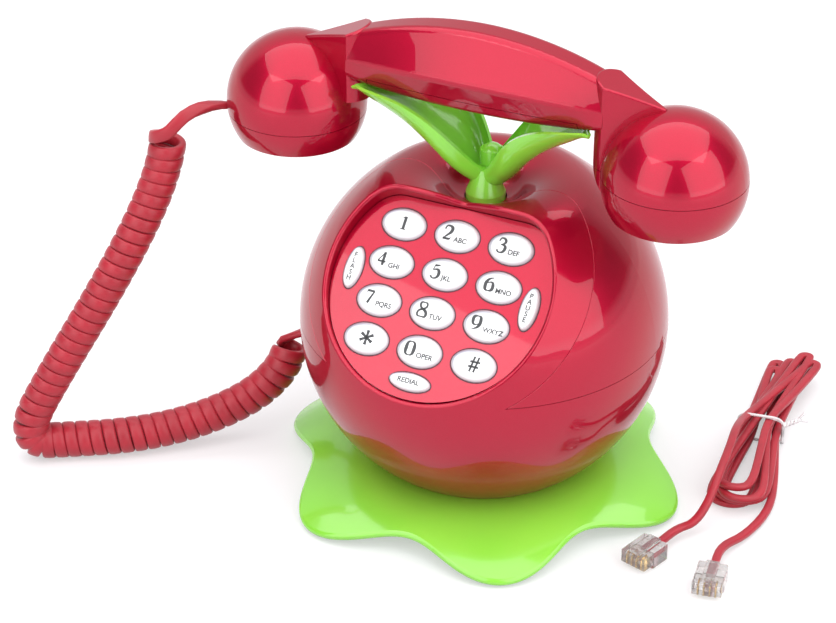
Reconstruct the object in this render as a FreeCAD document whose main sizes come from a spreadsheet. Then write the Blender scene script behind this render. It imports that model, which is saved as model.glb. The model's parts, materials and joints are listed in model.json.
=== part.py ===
"""Fruit-shaped desk telephone with a leaf cradle, a handset on a curly cord and a hanked line cord.

Millimetres. The floor is z = 0, +Z is up, the keypad faces -Y and +X is the user's right.
"""
import FreeCAD, Part
import math
import os
import re
from FreeCAD import Placement, Rotation, Vector

DOC = FreeCAD.newDocument("fruit_telephone")
SHEET = DOC.addObject("Spreadsheet::Sheet", "Sizes")

SIZES = [
    # Fruit body
    ("body_radius", 60.8),
    ("body_centre_height", 60.3),
    ("shell_wall", 2.5),
    ("shoulder_radius", 18.0),
    ("shoulder_reach", 25.0),
    ("dimple_radius", 10.0),
    ("dimple_height", 105.0),
    ("seam_gap", 0.2),
    ("parting_height", 62.0),
    ("parting_depth", 5.2),
    # Saucer and feet
    ("seat_height", 12.0),
    ("saucer_seat_radius", 40.0),
    ("saucer_tip_radius", 69.5),
    ("saucer_valley_radius", 57.0),
    ("saucer_tip_height", 3.3),
    ("saucer_valley_height", 8.8),
    ("saucer_thickness", 2.6),
    ("saucer_edge_bulge", 0.8),
    ("foot_radius", 4.0),
    ("foot_circle", 61.0),
    ("foot_inset", 5.0),
    ("ballast_radius", 22.0),
    ("ballast_height", 7.0),
    # Keypad
    ("keypad_distance", 43.2),
    ("keypad_drop", 6.0),
    ("keypad_lean", 45.4),
    ("pocket_radius", 37.5),
    ("pocket_centre", 2.1),
    ("pocket_top", 29.0),
    ("pocket_corner", 12.0),
    ("pocket_rounding", 1.0),
    ("plate_gap", 0.2),
    ("plate_thickness", 2.4),
    ("ledge_width", 1.5),
    ("ledge_thickness", 2.0),
    ("key_pitch_across", 18.7),
    ("key_pitch_down", 13.0),
    ("key_length", 15.4),
    ("key_breadth", 10.6),
    ("key_rise", 1.8),
    ("key_edge", 0.8),
    ("key_gap", 0.3),
    ("key_flange", 0.7),
    ("key_flange_thickness", 1.0),
    ("key_travel", 1.5),
    ("key_slack", 0.4),
    ("side_key_reach", 30.6),
    ("side_key_height", 2.0),
    ("side_key_length", 14.2),
    ("side_key_breadth", 6.0),
    ("redial_drop", 29.6),
    ("mat_thickness", 1.2),
    ("board_thickness", 1.6),
    ("keypad_boss_radius", 2.4),
    ("keypad_boss_circle", 38.6),
    ("keypad_boss_depth", 3.2),
    # Hook and cradle
    ("stalk_radius", 6.5),
    ("stalk_gap", 0.4),
    ("stalk_foot", 82.0),
    ("stalk_top", 107.0),
    ("crown_height", 8.0),
    ("guide_wall", 2.2),
    ("guide_foot", 88.0),
    ("clip_radius", 9.0),
    ("clip_thickness", 1.2),
    ("clip_groove", 1.2),
    ("clip_groove_depth", 1.2),
    ("leaf_thickness", 2.4),
    ("leaf_lip", 1.6),
    ("leaf_reach", 40.5),
    ("leaf_tip_height", 140.4),
    ("knob_radius", 3.9),
    ("knob_height", 121.8),
    ("knob_back", 4.6),
    ("knob_foot", 113.0),
    ("stalk_crown", 3.0),
    ("spring_radius", 4.0),
    ("spring_wire", 0.8),
    ("spring_turns", 6.0),
    ("spring_room", 0.4),
    ("spring_pocket_depth", 8.0),
    ("tower_wall", 2.0),
    ("tower_cup_height", 4.0),
    ("tower_arm_length", 14.0),
    ("tower_arm_width", 8.0),
    ("tower_arm_thickness", 3.0),
    ("switch_width", 6.0),
    ("switch_depth", 12.0),
    ("switch_height", 8.0),
    ("switch_reach", 14.0),
    ("switch_button_radius", 1.2),
    # Inside the body
    ("main_board_height", 34.0),
    ("main_board_width", 62.0),
    ("main_board_depth", 44.0),
    ("board_margin", 1.0),
    ("board_forward", 10.0),
    ("board_screw_grip", 7.0),
    ("post_radius", 4.0),
    ("post_reach", 26.0),
    ("post_back", 22.0),
    ("insert_depth", 14.0),
    ("screw_radius", 1.4),
    ("screw_head_radius", 2.6),
    ("screw_head_height", 1.8),
    ("screw_gap", 0.1),
    ("drill_over", 2.0),
    ("screw_spare", 3.0),
    ("boss_wall", 2.0),
    ("base_screw_circle", 29.0),
    ("base_boss_height", 12.0),
    ("jack_width", 14.0),
    ("jack_height", 12.0),
    ("jack_depth", 16.0),
    ("jack_level", 30.0),
    ("socket_width", 10.0),
    ("socket_height", 7.0),
    ("socket_depth", 12.5),
    ("socket_rise", 0.6),
    ("latch_slot_height", 2.0),
    ("latch_slot_drop", 1.2),
    ("ringer_radius", 12.5),
    ("ringer_height", 6.0),
    # Handset
    ("handset_half_span", 65.7),
    ("handset_height", 127.9),
    ("handset_forward", 4.5),
    ("ball_radius", 23.0),
    ("ball_wall", 2.4),
    ("ball_flat", 11.7),
    ("receiver_seam_drop", 3.0),
    ("mouthpiece_seam_drop", -1.2),
    ("bar_half_length", 44.0),
    ("bar_top", 165.7),
    ("bar_top_drop", 8.7),
    ("bar_bottom", 139.7),
    ("bar_bottom_rise", 2.4),
    ("bar_half_width", 13.5),
    ("bar_taper", 6.2),
    ("bar_top_half", 4.6),
    ("bar_bottom_half", 8.0),
    ("bar_rounding", 3.0),
    ("bar_wall", 2.4),
    ("belly_height", 144.0),
    ("belly_half_length", 36.0),
    ("belly_floor", 2.2),
    ("belly_sink", 12.0),
    ("belly_pad", 4.0),
    ("bar_end_wall", 6.0),
    ("handset_drill", 40.0),
    ("handset_screw_reach", 22.0),
    ("handset_screw_length", 9.0),
    ("weight_length", 36.0),
    ("weight_height", 6.0),
    ("neck_round", 8.3),
    ("neck_reach", 26.6),
    ("neck_curve", 21.1),
    ("neck_turn_rise", 6.0),
    ("hood_edge_reach", 22.0),
    ("hood_waist_reach", 13.5),
    ("hood_waist_half", 3.9),
    ("hood_tip_reach", 3.8),
    ("hood_tip_half", 0.8),
    ("hood_step", 0.4),
    ("hood_rounding", 0.7),
    ("capsule_radius", 15.0),
    ("capsule_height", 7.5),
    ("gasket_thickness", 1.5),
    ("gasket_width", 3.5),
    ("magnet_height", 3.0),
    ("microphone_radius", 5.0),
    ("microphone_height", 6.0),
    ("holder_wall", 4.0),
    ("sound_hole_radius", 1.2),
    ("sound_hole_circle", 7.0),
    ("cord_exit_drop", 1.5),
    # Cords
    ("gland_radius", 3.6),
    ("gland_length", 2.2),
    ("gland_collar", 1.2),
    ("gland_wall", 0.8),
    ("gland_level", 40.0),
    ("gland_dip", 20.0),
    ("handset_gland_turn", 15.0),
    ("cord_gap", 0.3),
    ("curl_wire", 3.4),
    ("curl_radius", 4.4),
    ("curl_flare", 0.8),
    ("curl_lift", 4.7),
    ("curl_pitch", 4.4),
    ("curl_corner_pitch", 6.3),
    ("curl_floor_pitch", 4.5),
    ("line_wire", 2.6),
    ("hank_step", 3.15),
    ("plug_width", 9.65),
    ("plug_length", 12.4),
    ("plug_height", 6.2),
    ("contact_slot", 0.6),
    ("contact_pitch", 1.9),
    ("lever_thickness", 1.0),
    ("tie_wire", 1.0),
]

# Driving dimensions, one alias per row
for row, (alias, value) in enumerate(SIZES, start=1):
    SHEET.set("A%d" % row, alias)
    SHEET.set("B%d" % row, str(value))
    SHEET.setAlias("B%d" % row, alias)
DOC.recompute()


def size(alias):
    return float(SHEET.get(alias))


def bound(formula):
    """A formula of plain aliases becomes one that reads the sheet."""
    return re.sub(r"[a-z][a-z_]{2,}", lambda word: "Sizes." + word.group(0), formula)


def at(x=0.0, y=0.0, z=0.0, axis=(0, 0, 1), angle=0.0):
    return Placement(Vector(x, y, z), Rotation(Vector(*axis), angle))


def solid(kind, name, sizes, place=None):
    item = DOC.addObject("Part::" + kind, name)
    for prop, formula in sizes.items():
        item.setExpression(prop, bound(formula))
    if place is not None:
        item.Placement = place
    return item


def fuse(name, *items):
    item = DOC.addObject("Part::MultiFuse", name)
    item.Shapes = list(items)
    return item


def common(name, *items):
    item = DOC.addObject("Part::MultiCommon", name)
    item.Shapes = list(items)
    return item


def cut(name, base, *tools):
    item = DOC.addObject("Part::Cut", name)
    item.Base = base
    item.Tool = tools[0] if len(tools) == 1 else fuse(name + "_tools", *tools)
    return item


def group(name, items):
    item = DOC.addObject("Part::Compound", name)
    item.Links = list(items)
    return item


def feature(name, shape):
    item = DOC.addObject("Part::Feature", name)
    item.Shape = shape
    return item


def sketch(name, edges, place):
    item = DOC.addObject("Sketcher::SketchObject", name)
    item.Placement = place
    for edge in edges:
        item.addGeometry(edge, False)
    return item


def extrude(name, base, length):
    item = DOC.addObject("Part::Extrusion", name)
    item.Base = base
    item.DirMode = "Custom"
    item.Dir = base.Placement.Rotation.multVec(Vector(0, 0, 1))
    item.Solid = True
    item.setExpression("LengthFwd", bound(length))
    return item


def revolve(name, base):
    item = DOC.addObject("Part::Revolution", name)
    item.Source = base
    item.Axis = Vector(0, 0, 1)
    item.Angle = 360.0
    item.Solid = True
    return item


def line(first, second):
    return Part.LineSegment(Vector(*first, 0), Vector(*second, 0))


def bow(first, through, last):
    return Part.Arc(Vector(*first, 0), Vector(*through, 0), Vector(*last, 0))


UPRIGHT = at(axis=(1, 0, 0), angle=90.0)
FAR = 120.0


# Fruit body outline: bottom flat, round side, shoulder, dimple
def fruit_outline(inset):
    mid = size("body_centre_height")
    side = size("body_radius") - inset
    shoulder = size("shoulder_radius") - inset
    reach = size("shoulder_reach")
    dimple = size("dimple_radius") + inset
    floor = size("seat_height") + inset
    roof = size("dimple_height") - inset
    shoulder_z = mid + math.sqrt((side - shoulder) ** 2 - reach ** 2)
    dimple_z = roof + dimple
    dimple_r = reach - math.sqrt((shoulder + dimple) ** 2 - (dimple_z - shoulder_z) ** 2)
    lean = math.atan2(shoulder_z - mid, reach)
    turn = math.atan2(dimple_z - shoulder_z, dimple_r - reach)
    bottom_r = math.sqrt(side ** 2 - (mid - floor) ** 2)
    start = math.asin((floor - mid) / side)

    def on_side(angle):
        return (side * math.cos(angle), mid + side * math.sin(angle))

    def on_shoulder(angle):
        return (reach + shoulder * math.cos(angle), shoulder_z + shoulder * math.sin(angle))

    def on_dimple(angle):
        return (dimple_r + dimple * math.cos(angle), dimple_z + dimple * math.sin(angle))

    back = turn - math.pi
    down = -math.pi / 2
    return [
        line((0, floor), (bottom_r, floor)),
        bow(on_side(start), on_side((start + lean) / 2), on_side(lean)),
        bow(on_shoulder(lean), on_shoulder((lean + turn) / 2), on_shoulder(turn)),
        bow(on_dimple(back), on_dimple((back + down) / 2), on_dimple(down)),
        line((dimple_r, roof), (0, roof)),
        line((0, roof), (0, floor)),
    ]


# Keypad frame: X across, Y up the slope, Z out of the face
LEAN = Rotation(Vector(1, 0, 0), size("keypad_lean"))
FACE_FOOT = Vector(0, 0, size("body_centre_height")) + LEAN.multVec(Vector(0, 0, size("keypad_distance")))
FACE = Placement(FACE_FOOT - LEAN.multVec(Vector(0, size("keypad_drop"), 0)), LEAN)


def on_face(across=0.0, up=0.0, out=0.0):
    return FACE.multiply(at(across, up, out))


def shield_outline(inset):
    """Round pocket with a flat top and rounded upper corners."""
    radius = size("pocket_radius") - inset
    centre = size("pocket_centre")
    top = size("pocket_top") - inset
    corner = size("pocket_corner") - inset
    corner_y = top - corner
    corner_x = math.sqrt((radius - corner) ** 2 - (corner_y - centre) ** 2)
    meet = math.atan2(corner_y - centre, corner_x)
    half = (meet + math.pi / 2) / 2

    def corner_point(side, angle):
        return (side * (corner_x + corner * math.cos(angle)), corner_y + corner * math.sin(angle))

    def round_point(angle):
        return (radius * math.cos(angle), centre + radius * math.sin(angle))

    upper = math.pi / 2
    return [
        bow(round_point(math.pi - meet), round_point(-upper), round_point(meet)),
        bow(corner_point(1, meet), corner_point(1, half), corner_point(1, upper)),
        line(corner_point(1, upper), corner_point(-1, upper)),
        bow(corner_point(-1, upper), corner_point(-1, half), corner_point(-1, meet)),
    ]


def shield(name, inset, out, thickness):
    return extrude(name, sketch(name + "_outline", shield_outline(inset), on_face(out=out)), thickness)


def behind_face(name, out):
    return solid("Box", name,
                 {"Length": "body_radius * 4", "Width": "body_radius * 4", "Height": "body_radius * 4"},
                 on_face(-2 * size("body_radius"), -2 * size("body_radius"), out - 4 * size("body_radius")))


def above(name, level):
    reach = 2 * size("body_radius")
    return solid("Box", name,
                 {"Length": "body_radius * 4", "Width": "body_radius * 4", "Height": "body_radius * 4"},
                 at(-reach, -reach, level))


def screw(name, place, shank):
    """Pan-head screw, head seat at the local origin, shank along local +Z."""
    head = solid("Cylinder", name + "_head", {"Radius": "screw_head_radius", "Height": "screw_head_height"},
                 place.multiply(at(z=-size("screw_head_height"))))
    stem = solid("Cylinder", name + "_shank", {"Radius": "screw_radius"}, place)
    stem.Height = shank
    return fuse(name, head, stem)


def ring_places(count, radius, level, first=0.0):
    turn = 2 * math.pi / count
    start = math.radians(first)
    return [at(radius * math.cos(start + k * turn), radius * math.sin(start + k * turn), level)
            for k in range(count)]


# Base saucer: six drooping lobes round a flat seat
LOBES = 6
RING_POINTS = 72


def saucer_ring(share, drop, bulge=0.0):
    """One closed ring of the saucer, share 0 at the seat and 1 at the rim."""
    points = []
    for step in range(RING_POINTS):
        angle = 2 * math.pi * step / RING_POINTS
        lobe = 0.5 + 0.5 * math.cos(LOBES * angle)
        rim = size("saucer_valley_radius") + (size("saucer_tip_radius") - size("saucer_valley_radius")) * lobe
        rim_z = size("saucer_valley_height") + (size("saucer_tip_height") - size("saucer_valley_height")) * lobe
        reach = size("saucer_seat_radius") + (rim - size("saucer_seat_radius")) * share + bulge
        level = size("seat_height") - (size("seat_height") - rim_z) * share ** 2 - drop
        points.append(Vector(reach * math.cos(angle), reach * math.sin(angle), level))
    curve = Part.BSplineCurve()
    curve.interpolate(points, PeriodicFlag=True)
    return Part.Wire(curve.toShape())


def saucer_solid():
    shares = (0.0, 0.4, 0.75, 1.0)
    thick = size("saucer_thickness")
    bulge = size("saucer_edge_bulge")
    top = [saucer_ring(share, 0.0) for share in shares]
    under = [saucer_ring(share, thick) for share in shares]
    edge = [top[-1], saucer_ring(1.0, thick / 2, bulge), under[-1]]
    faces = [Part.Face(top[0]), Part.Face(under[0])]
    for rings in (top, edge, under):
        faces += Part.makeLoft(rings, False, False).Faces
    shell = Part.Shell(faces)
    shell.sewShape()
    return Part.Solid(shell)


def base_parts():
    thick = size("saucer_thickness")
    seat = size("seat_height")
    holes = [solid("Cylinder", "saucer_hole_%d" % k, {"Radius": "screw_radius + screw_gap",
                                                      "Height": "saucer_thickness * 3"},
                   place.multiply(at(z=-thick))) for k, place in
             enumerate(ring_places(3, size("base_screw_circle"), seat - thick, 90.0))]
    cut("base_saucer", feature("saucer_blank", saucer_solid()), *holes)
    screws = [screw("base_screw_%d" % k, place,
                    thick + size("shell_wall") + size("base_boss_height") - size("screw_spare"))
              for k, place in enumerate(ring_places(3, size("base_screw_circle"), seat - thick, 90.0))]
    group("base_screws", screws)
    feet = [solid("Cylinder", "foot_%d" % k, {"Radius": "foot_radius", "Height": "foot_inset"}, place)
            for k, place in enumerate(ring_places(LOBES, size("foot_circle"), 0.0))]
    cut("rubber_feet", group("feet_blank", feet), feature("saucer_print", saucer_solid()))
    plate = solid("Cylinder", "ballast_blank", {"Radius": "ballast_radius", "Height": "ballast_height"},
                  at(z=seat + size("shell_wall")))
    bore = solid("Cylinder", "ballast_bore", {"Radius": "ballast_radius / 4", "Height": "ballast_height * 3"},
                 at(z=seat - size("shell_wall")))
    cut("ballast_weight", plate, bore)


def rounded_rim(name, base):
    """Rounds the pocket's rim, which is every edge that stands wholly above the bed of the plate."""
    DOC.recompute()
    back = FACE.inverse()
    bed = -size("plate_thickness") / 2
    radius = size("pocket_rounding")
    rim = []
    for k, edge in enumerate(base.Shape.Edges, start=1):
        middle = edge.valueAt((edge.FirstParameter + edge.LastParameter) / 2)
        spots = [vertex.Point for vertex in edge.Vertexes] + [middle]
        if min(back.multVec(spot).z for spot in spots) > bed:
            rim.append((k, radius, radius))
    item = DOC.addObject("Part::Fillet", name)
    item.Base = base
    item.Edges = rim
    return item


def body_shells():
    seat = size("seat_height")
    wall = size("shell_wall")
    split = size("parting_height")
    plate = size("plate_thickness")
    ledge = size("ledge_thickness")
    outer = revolve("fruit_outer", sketch("fruit_outer_outline", fruit_outline(0.0), UPRIGHT))
    inner = revolve("fruit_inner", sketch("fruit_inner_outline", fruit_outline(wall), UPRIGHT))
    hollow = common("fruit_hollow", inner, behind_face("hollow_limit", -plate - ledge))
    pocket = shield("keypad_pocket", 0.0, -plate, "body_radius")
    window = shield("keypad_window", size("ledge_width"), -plate - 2 * ledge,
                    "plate_thickness + ledge_thickness * 2")
    stalk_hole = solid("Cylinder", "stalk_hole",
                       {"Radius": "stalk_radius + stalk_gap", "Height": "shell_wall * 8"},
                       at(z=size("dimple_height") - 4 * wall))
    gland_hole = solid("Cylinder", "gland_hole", {"Radius": "curl_wire / 2 + gland_wall + screw_gap",
                                                  "Height": "body_radius"},
                                                  aimed(*body_gland_seat(), -4 * wall))
    jack_hole = solid("Box", "jack_hole", {"Length": "jack_width + screw_gap * 4", "Width": "body_radius",
                                           "Height": "jack_height + screw_gap * 4"},
                      at(-size("jack_width") / 2 - 2 * size("screw_gap"), size("body_radius") / 2,
                         size("jack_level") - size("jack_height") / 2 - 2 * size("screw_gap")))
    rounded = rounded_rim("fruit_rounded", cut("fruit_pocketed", outer, pocket))
    shell = cut("fruit_shell", rounded, hollow, window, stalk_hole, gland_hole, jack_hole)

    # Lower posts, screw bosses and board posts of the front shell
    bosses = [solid("Cylinder", "base_boss_%d" % k, {"Radius": "post_radius", "Height": "base_boss_height"},
                    place)
              for k, place in enumerate(ring_places(3, size("base_screw_circle"), seat + wall, 90.0))]
    posts = [solid("Cylinder", "lower_post_%d" % k, {"Radius": "post_radius",
                                                     "Height": "parting_height - seat_height - seam_gap"},
                   at(side * size("post_reach"), size("post_back"), seat)) for k, side in enumerate((-1, 1))]
    board_posts = [solid("Cylinder", "board_post_%d" % k, {"Radius": "post_radius",
                                                           "Height": "main_board_height - seat_height - shell_wall"},
                         place.multiply(at(z=seat + wall))) for k, place in enumerate(board_corners())]
    keypad_bosses = [solid("Cylinder", "keypad_boss_%d" % k, {"Radius": "keypad_boss_radius",
                                                              "Height": "key_flange_thickness + key_travel + key_slack"},
                           on_face(across, up, board_out()))
                           for k, (across, up) in enumerate(keypad_boss_spots())]
    holes = [solid("Cylinder", "base_boss_hole_%d" % k, {"Radius": "screw_radius + screw_gap",
                                                         "Height": "base_boss_height + shell_wall + drill_over"},
                   place) for k,
                   place in enumerate(ring_places(3, size("base_screw_circle"), seat - size("drill_over"),
                                                  90.0))]
    holes += [solid("Cylinder", "post_bore_%d" % k, {"Radius": "screw_head_radius + screw_gap * 3",
                                                     "Height": "parting_height - seat_height - post_radius * 2"},
                    at(side * size("post_reach"), size("post_back"), seat)) for k, side in enumerate((-1, 1))]
    holes += [solid("Cylinder", "post_hole_%d" % k,
                    {"Radius": "screw_radius + screw_gap", "Height": "parting_height"},
                    at(side * size("post_reach"), size("post_back"), seat)) for k, side in enumerate((-1, 1))]
    holes += [solid("Cylinder", "board_post_hole_%d" % k, {"Radius": "screw_radius + screw_gap",
                                                           "Height": "main_board_height / 3"},
                    place.multiply(at(z=size("main_board_height") * 2 / 3)))
              for k, place in enumerate(board_corners())]
    holes += [solid("Cylinder", "keypad_boss_hole_%d" % k,
                    {"Radius": "screw_radius + screw_gap", "Height": "keypad_boss_depth"},
                    on_face(across, up, board_out())) for k, (across, up) in enumerate(keypad_boss_spots())]
    rear_space = common("rear_space", above("rear_space_top", split - size("seam_gap")),
                        behind_face("rear_space_back", -size("parting_depth") + size("seam_gap")))
    front = cut("front_half", shell, rear_space)
    inside = common("front_inside", fuse("front_inside_blank", *bosses, *posts, *board_posts), outer)
    cut("front_shell", fuse("front_blank", front, inside, *keypad_bosses), *holes)

    # Rear shell with its long posts and the stalk guide
    rear_zone = common("rear_zone", above("rear_zone_top", split),
                       behind_face("rear_zone_back", -size("parting_depth")))
    rear = common("rear_half", shell, rear_zone)
    hanging = [solid("Cylinder", "upper_post_%d" % k, {"Radius": "post_radius", "Height": "body_radius"},
                     at(side * size("post_reach"), size("post_back"), split))
                     for k, side in enumerate((-1, 1))]
    guide = solid("Cylinder", "guide_tube", {"Radius": "stalk_radius + stalk_gap + guide_wall",
                                             "Height": "dimple_height - guide_foot"},
                                             at(z=size("guide_foot")))
    bore = solid("Cylinder", "guide_bore", {"Radius": "stalk_radius + stalk_gap", "Height": "dimple_height"},
                 at(z=split))
    inserts = [solid("Cylinder", "upper_post_hole_%d" % k,
                     {"Radius": "screw_radius + screw_gap", "Height": "insert_depth"},
                     at(side * size("post_reach"), size("post_back"), split - size("drill_over") / 2))
                     for k, side in enumerate((-1, 1))]
    trimmed = common("rear_inside", fuse("rear_inside_blank", guide, *hanging), outer)
    cut("rear_shell", fuse("rear_blank", rear, trimmed), bore, *inserts)
    group("shell_screws", [screw("shell_screw_%d" % k,
                                 at(side * size("post_reach"), size("post_back"),
                                    split - 2 * size("post_radius")),
                                 2 * size("post_radius") + size("insert_depth") - size("screw_spare"))
                                 for k, side in enumerate((-1, 1))])


# Keypad
def board_out():
    """Top face of the keypad board, measured out of the keypad plane."""
    room = size("plate_thickness") + size("key_flange_thickness") + size("key_travel")
    return -room - size("key_slack") - size("mat_thickness")


def keypad_boss_spots():
    circle = size("keypad_boss_circle")
    return [(circle * math.cos(math.radians(turn)),
             size("pocket_centre") + circle * math.sin(math.radians(turn)))
            for turn in (26, 154, 206, 334)]


def key_spots():
    across = size("key_pitch_across")
    down = size("key_pitch_down")
    names = ("1", "2", "3", "4", "5", "6", "7", "8", "9", "star", "0", "hash")
    return [("key_" + name, (k % 3 - 1) * across, (1.5 - k // 3) * down, "key_length", "key_breadth", 0.0)
            for k, name in enumerate(names)] + [
        ("key_flash", -size("side_key_reach"), size("side_key_height"), "side_key_length", "side_key_breadth",
         90.0),
        ("key_pause", size("side_key_reach"), size("side_key_height"), "side_key_length", "side_key_breadth",
         90.0),
        ("key_redial", 0.0, -size("redial_drop"), "side_key_length", "side_key_breadth", 0.0)]


def oval(name, length, breadth, place, height):
    outline = solid("Ellipse", name + "_outline", {"MajorRadius": length, "MinorRadius": breadth}, place)
    return extrude(name, outline, height)


def keypad_parts():
    plate = size("plate_thickness")
    flange = size("key_flange_thickness")
    holes = []
    for name, across, up, length, breadth, turn in key_spots():
        spin = at(angle=turn)
        holes.append(oval(name + "_hole", length + " / 2 + key_gap", breadth + " / 2 + key_gap",
                          on_face(across, up, -2 * plate).multiply(spin), "plate_thickness * 4"))
        cap = oval(name + "_cap", length + " / 2", breadth + " / 2",
                   on_face(across, up, -plate - flange / 2).multiply(spin),
                   "plate_thickness + key_flange_thickness / 2 + key_rise")
        DOC.recompute()
        rounded = DOC.addObject("Part::Fillet", name + "_rounded")
        rounded.Base = cap
        out = on_face(across, up, size("key_rise")).Base
        top = [k for k, edge in enumerate(cap.Shape.Edges, start=1)
               if edge.CenterOfMass.distanceToPoint(out) < size("key_rise") / 2]
        rounded.Edges = [(k, size("key_edge"), size("key_edge")) for k in top]
        skirt = oval(name + "_skirt", length + " / 2 + key_flange", breadth + " / 2 + key_flange",
                     on_face(across, up, -plate - flange).multiply(spin), "key_flange_thickness")
        fuse(name, rounded, skirt)
    face = shield("plate_blank", size("plate_gap"), -plate, "plate_thickness")
    cut("keypad_plate", face, *holes)
    shield("key_mat", size("ledge_width") + size("plate_gap") * 2, board_out(), "mat_thickness")
    sheet = shield("keypad_board_sheet", size("plate_gap"), board_out() - size("board_thickness"),
                   "board_thickness")
    ears = [solid("Cylinder", "keypad_board_ear_%d" % k, {"Radius": "keypad_boss_radius + key_gap * 2",
                                                          "Height": "board_thickness"},
                  on_face(across, up, board_out() - size("board_thickness")))
            for k, (across, up) in enumerate(keypad_boss_spots())]
    board = fuse("keypad_board_blank", sheet, *ears)
    bores = [solid("Cylinder", "keypad_board_hole_%d" % k, {"Radius": "screw_radius + screw_gap",
                                                            "Height": "board_thickness * 3"},
                   on_face(across, up, board_out() - 2 * size("board_thickness")))
             for k, (across, up) in enumerate(keypad_boss_spots())]
    clear = solid("Cylinder", "keypad_board_relief",
                  {"Radius": "stalk_radius + stalk_gap + guide_wall + key_gap * 3",
                                                      "Height": "body_radius * 2"}, at(z=size("seat_height")))
    cut("keypad_board", board, *bores, clear)
    group("keypad_board_screws", [
        screw("keypad_board_screw_%d" % k, on_face(across, up, board_out() - size("board_thickness")),
              size("board_thickness") + size("keypad_boss_depth") - size("key_slack"))
              for k, (across, up) in enumerate(keypad_boss_spots())])


# Main board, switch, ringer, jack and gland
def board_corners():
    across = size("main_board_width") / 2 - size("post_radius") - size("board_margin")
    deep = size("main_board_depth") / 2 - size("post_radius") - size("board_margin")
    return [at(x, y - size("board_forward")) for x in (-across, across) for y in (-deep, deep)]


def inner_parts():
    level = size("main_board_height")
    thick = size("board_thickness")
    half = size("main_board_width") / 2
    deep = size("main_board_depth") / 2
    blank = solid("Box", "main_board_blank", {"Length": "main_board_width", "Width": "main_board_depth",
                                              "Height": "board_thickness"},
                                              at(-half, -deep - size("board_forward"), level))
    bores = [solid("Cylinder", "main_board_hole_%d" % k, {"Radius": "screw_radius + screw_gap",
                                                          "Height": "board_thickness * 3"},
                   place.multiply(at(z=level - thick))) for k, place in enumerate(board_corners())]
    cut("main_board", blank, *bores)
    group("main_board_screws", [screw("main_board_screw_%d" % k,
                                      place.multiply(at(z=level + thick, axis=(1, 0, 0), angle=180.0)),
                                      thick + size("board_screw_grip"))
                                for k, place in enumerate(board_corners())])
    ringer_x = -half * 0.42
    ringer_y = -deep * 0.35 - size("board_forward")
    ringer = solid("Cylinder", "ringer_case", {"Radius": "ringer_radius", "Height": "ringer_height"},
                   at(ringer_x, ringer_y, level + thick))
    throat = solid("Cylinder", "ringer_throat",
                   {"Radius": "ringer_radius / 5", "Height": "ringer_height / 3"},
                   at(ringer_x, ringer_y, level + thick + size("ringer_height") * 0.8))
    cut("ringer_speaker", ringer, throat)

    # Hook tower carries the spring cup and the switch
    seat = spring_foot()
    tower = solid("Cylinder", "tower_column", {"Radius": "spring_radius + spring_wire + tower_wall"},
                  at(z=level + thick))
    tower.Height = seat - level - thick + size("tower_wall")
    cup = solid("Cylinder", "tower_cup", {"Radius": "spring_radius + spring_wire + spring_room",
                                            "Height": "tower_cup_height"}, at(z=seat))
    reach = size("switch_reach")
    tall = size("switch_height")
    arm = solid("Box", "tower_arm", {"Length": "tower_arm_length", "Width": "tower_arm_width",
                                     "Height": "tower_arm_thickness"},
                at(size("tower_arm_width") / 2, -size("tower_arm_width") / 2,
                   seat - size("tower_arm_thickness")))
    cut("hook_tower", fuse("tower_blank", tower, arm), cup)
    case = solid("Box", "hook_switch_case", {"Length": "switch_width", "Width": "switch_depth",
                                             "Height": "switch_height"},
                 at(reach - size("switch_width") / 2, -size("switch_depth") / 2, seat))
    button = solid("Cylinder", "hook_switch_button", {"Radius": "switch_button_radius"},
                   at(reach, 0, seat + tall))
    button.Height = size("stalk_foot") - seat - tall - size("seam_gap")
    fuse("hook_switch", case, button)

    # Line jack behind, with a six-way socket
    face = math.sqrt((size("body_radius") - size("shell_wall") / 2) ** 2
                     - (size("jack_level") - size("body_centre_height")) ** 2)
    face = math.sqrt(face ** 2 - (size("jack_width") / 2) ** 2)
    low = size("jack_level") - size("jack_height") / 2
    box = solid("Box", "jack_case", {"Length": "jack_width", "Width": "jack_depth", "Height": "jack_height"},
                at(-size("jack_width") / 2, face - size("jack_depth"), low))
    socket = solid("Box", "jack_socket", {"Length": "socket_width", "Width": "socket_depth + drill_over",
                                          "Height": "socket_height"},
                   at(-size("socket_width") / 2, face - size("socket_depth"),
                      size("jack_level") - size("socket_height") / 2 + size("socket_rise")))
    latch = solid("Box", "jack_latch_slot",
                  {"Length": "socket_width / 2.5", "Width": "socket_depth + drill_over",
                                             "Height": "latch_slot_height"},
                  at(-size("socket_width") / 5, face - size("socket_depth"),
                     size("jack_level") - size("socket_height") / 2 - size("latch_slot_drop")))
    cut("line_jack", box, socket, latch)
    shelf = solid("Box", "jack_shelf", {"Length": "jack_width", "Width": "jack_depth",
                                        "Height": "jack_level - jack_height / 2 - seat_height - shell_wall"},
                  at(-size("jack_width") / 2, face - size("jack_depth"),
                     size("seat_height") + size("shell_wall")))
    common("jack_bracket", shelf, DOC.getObject("fruit_inner"))


def spring_foot():
    return size("stalk_foot") - size("clip_radius") * 1.5


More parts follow.
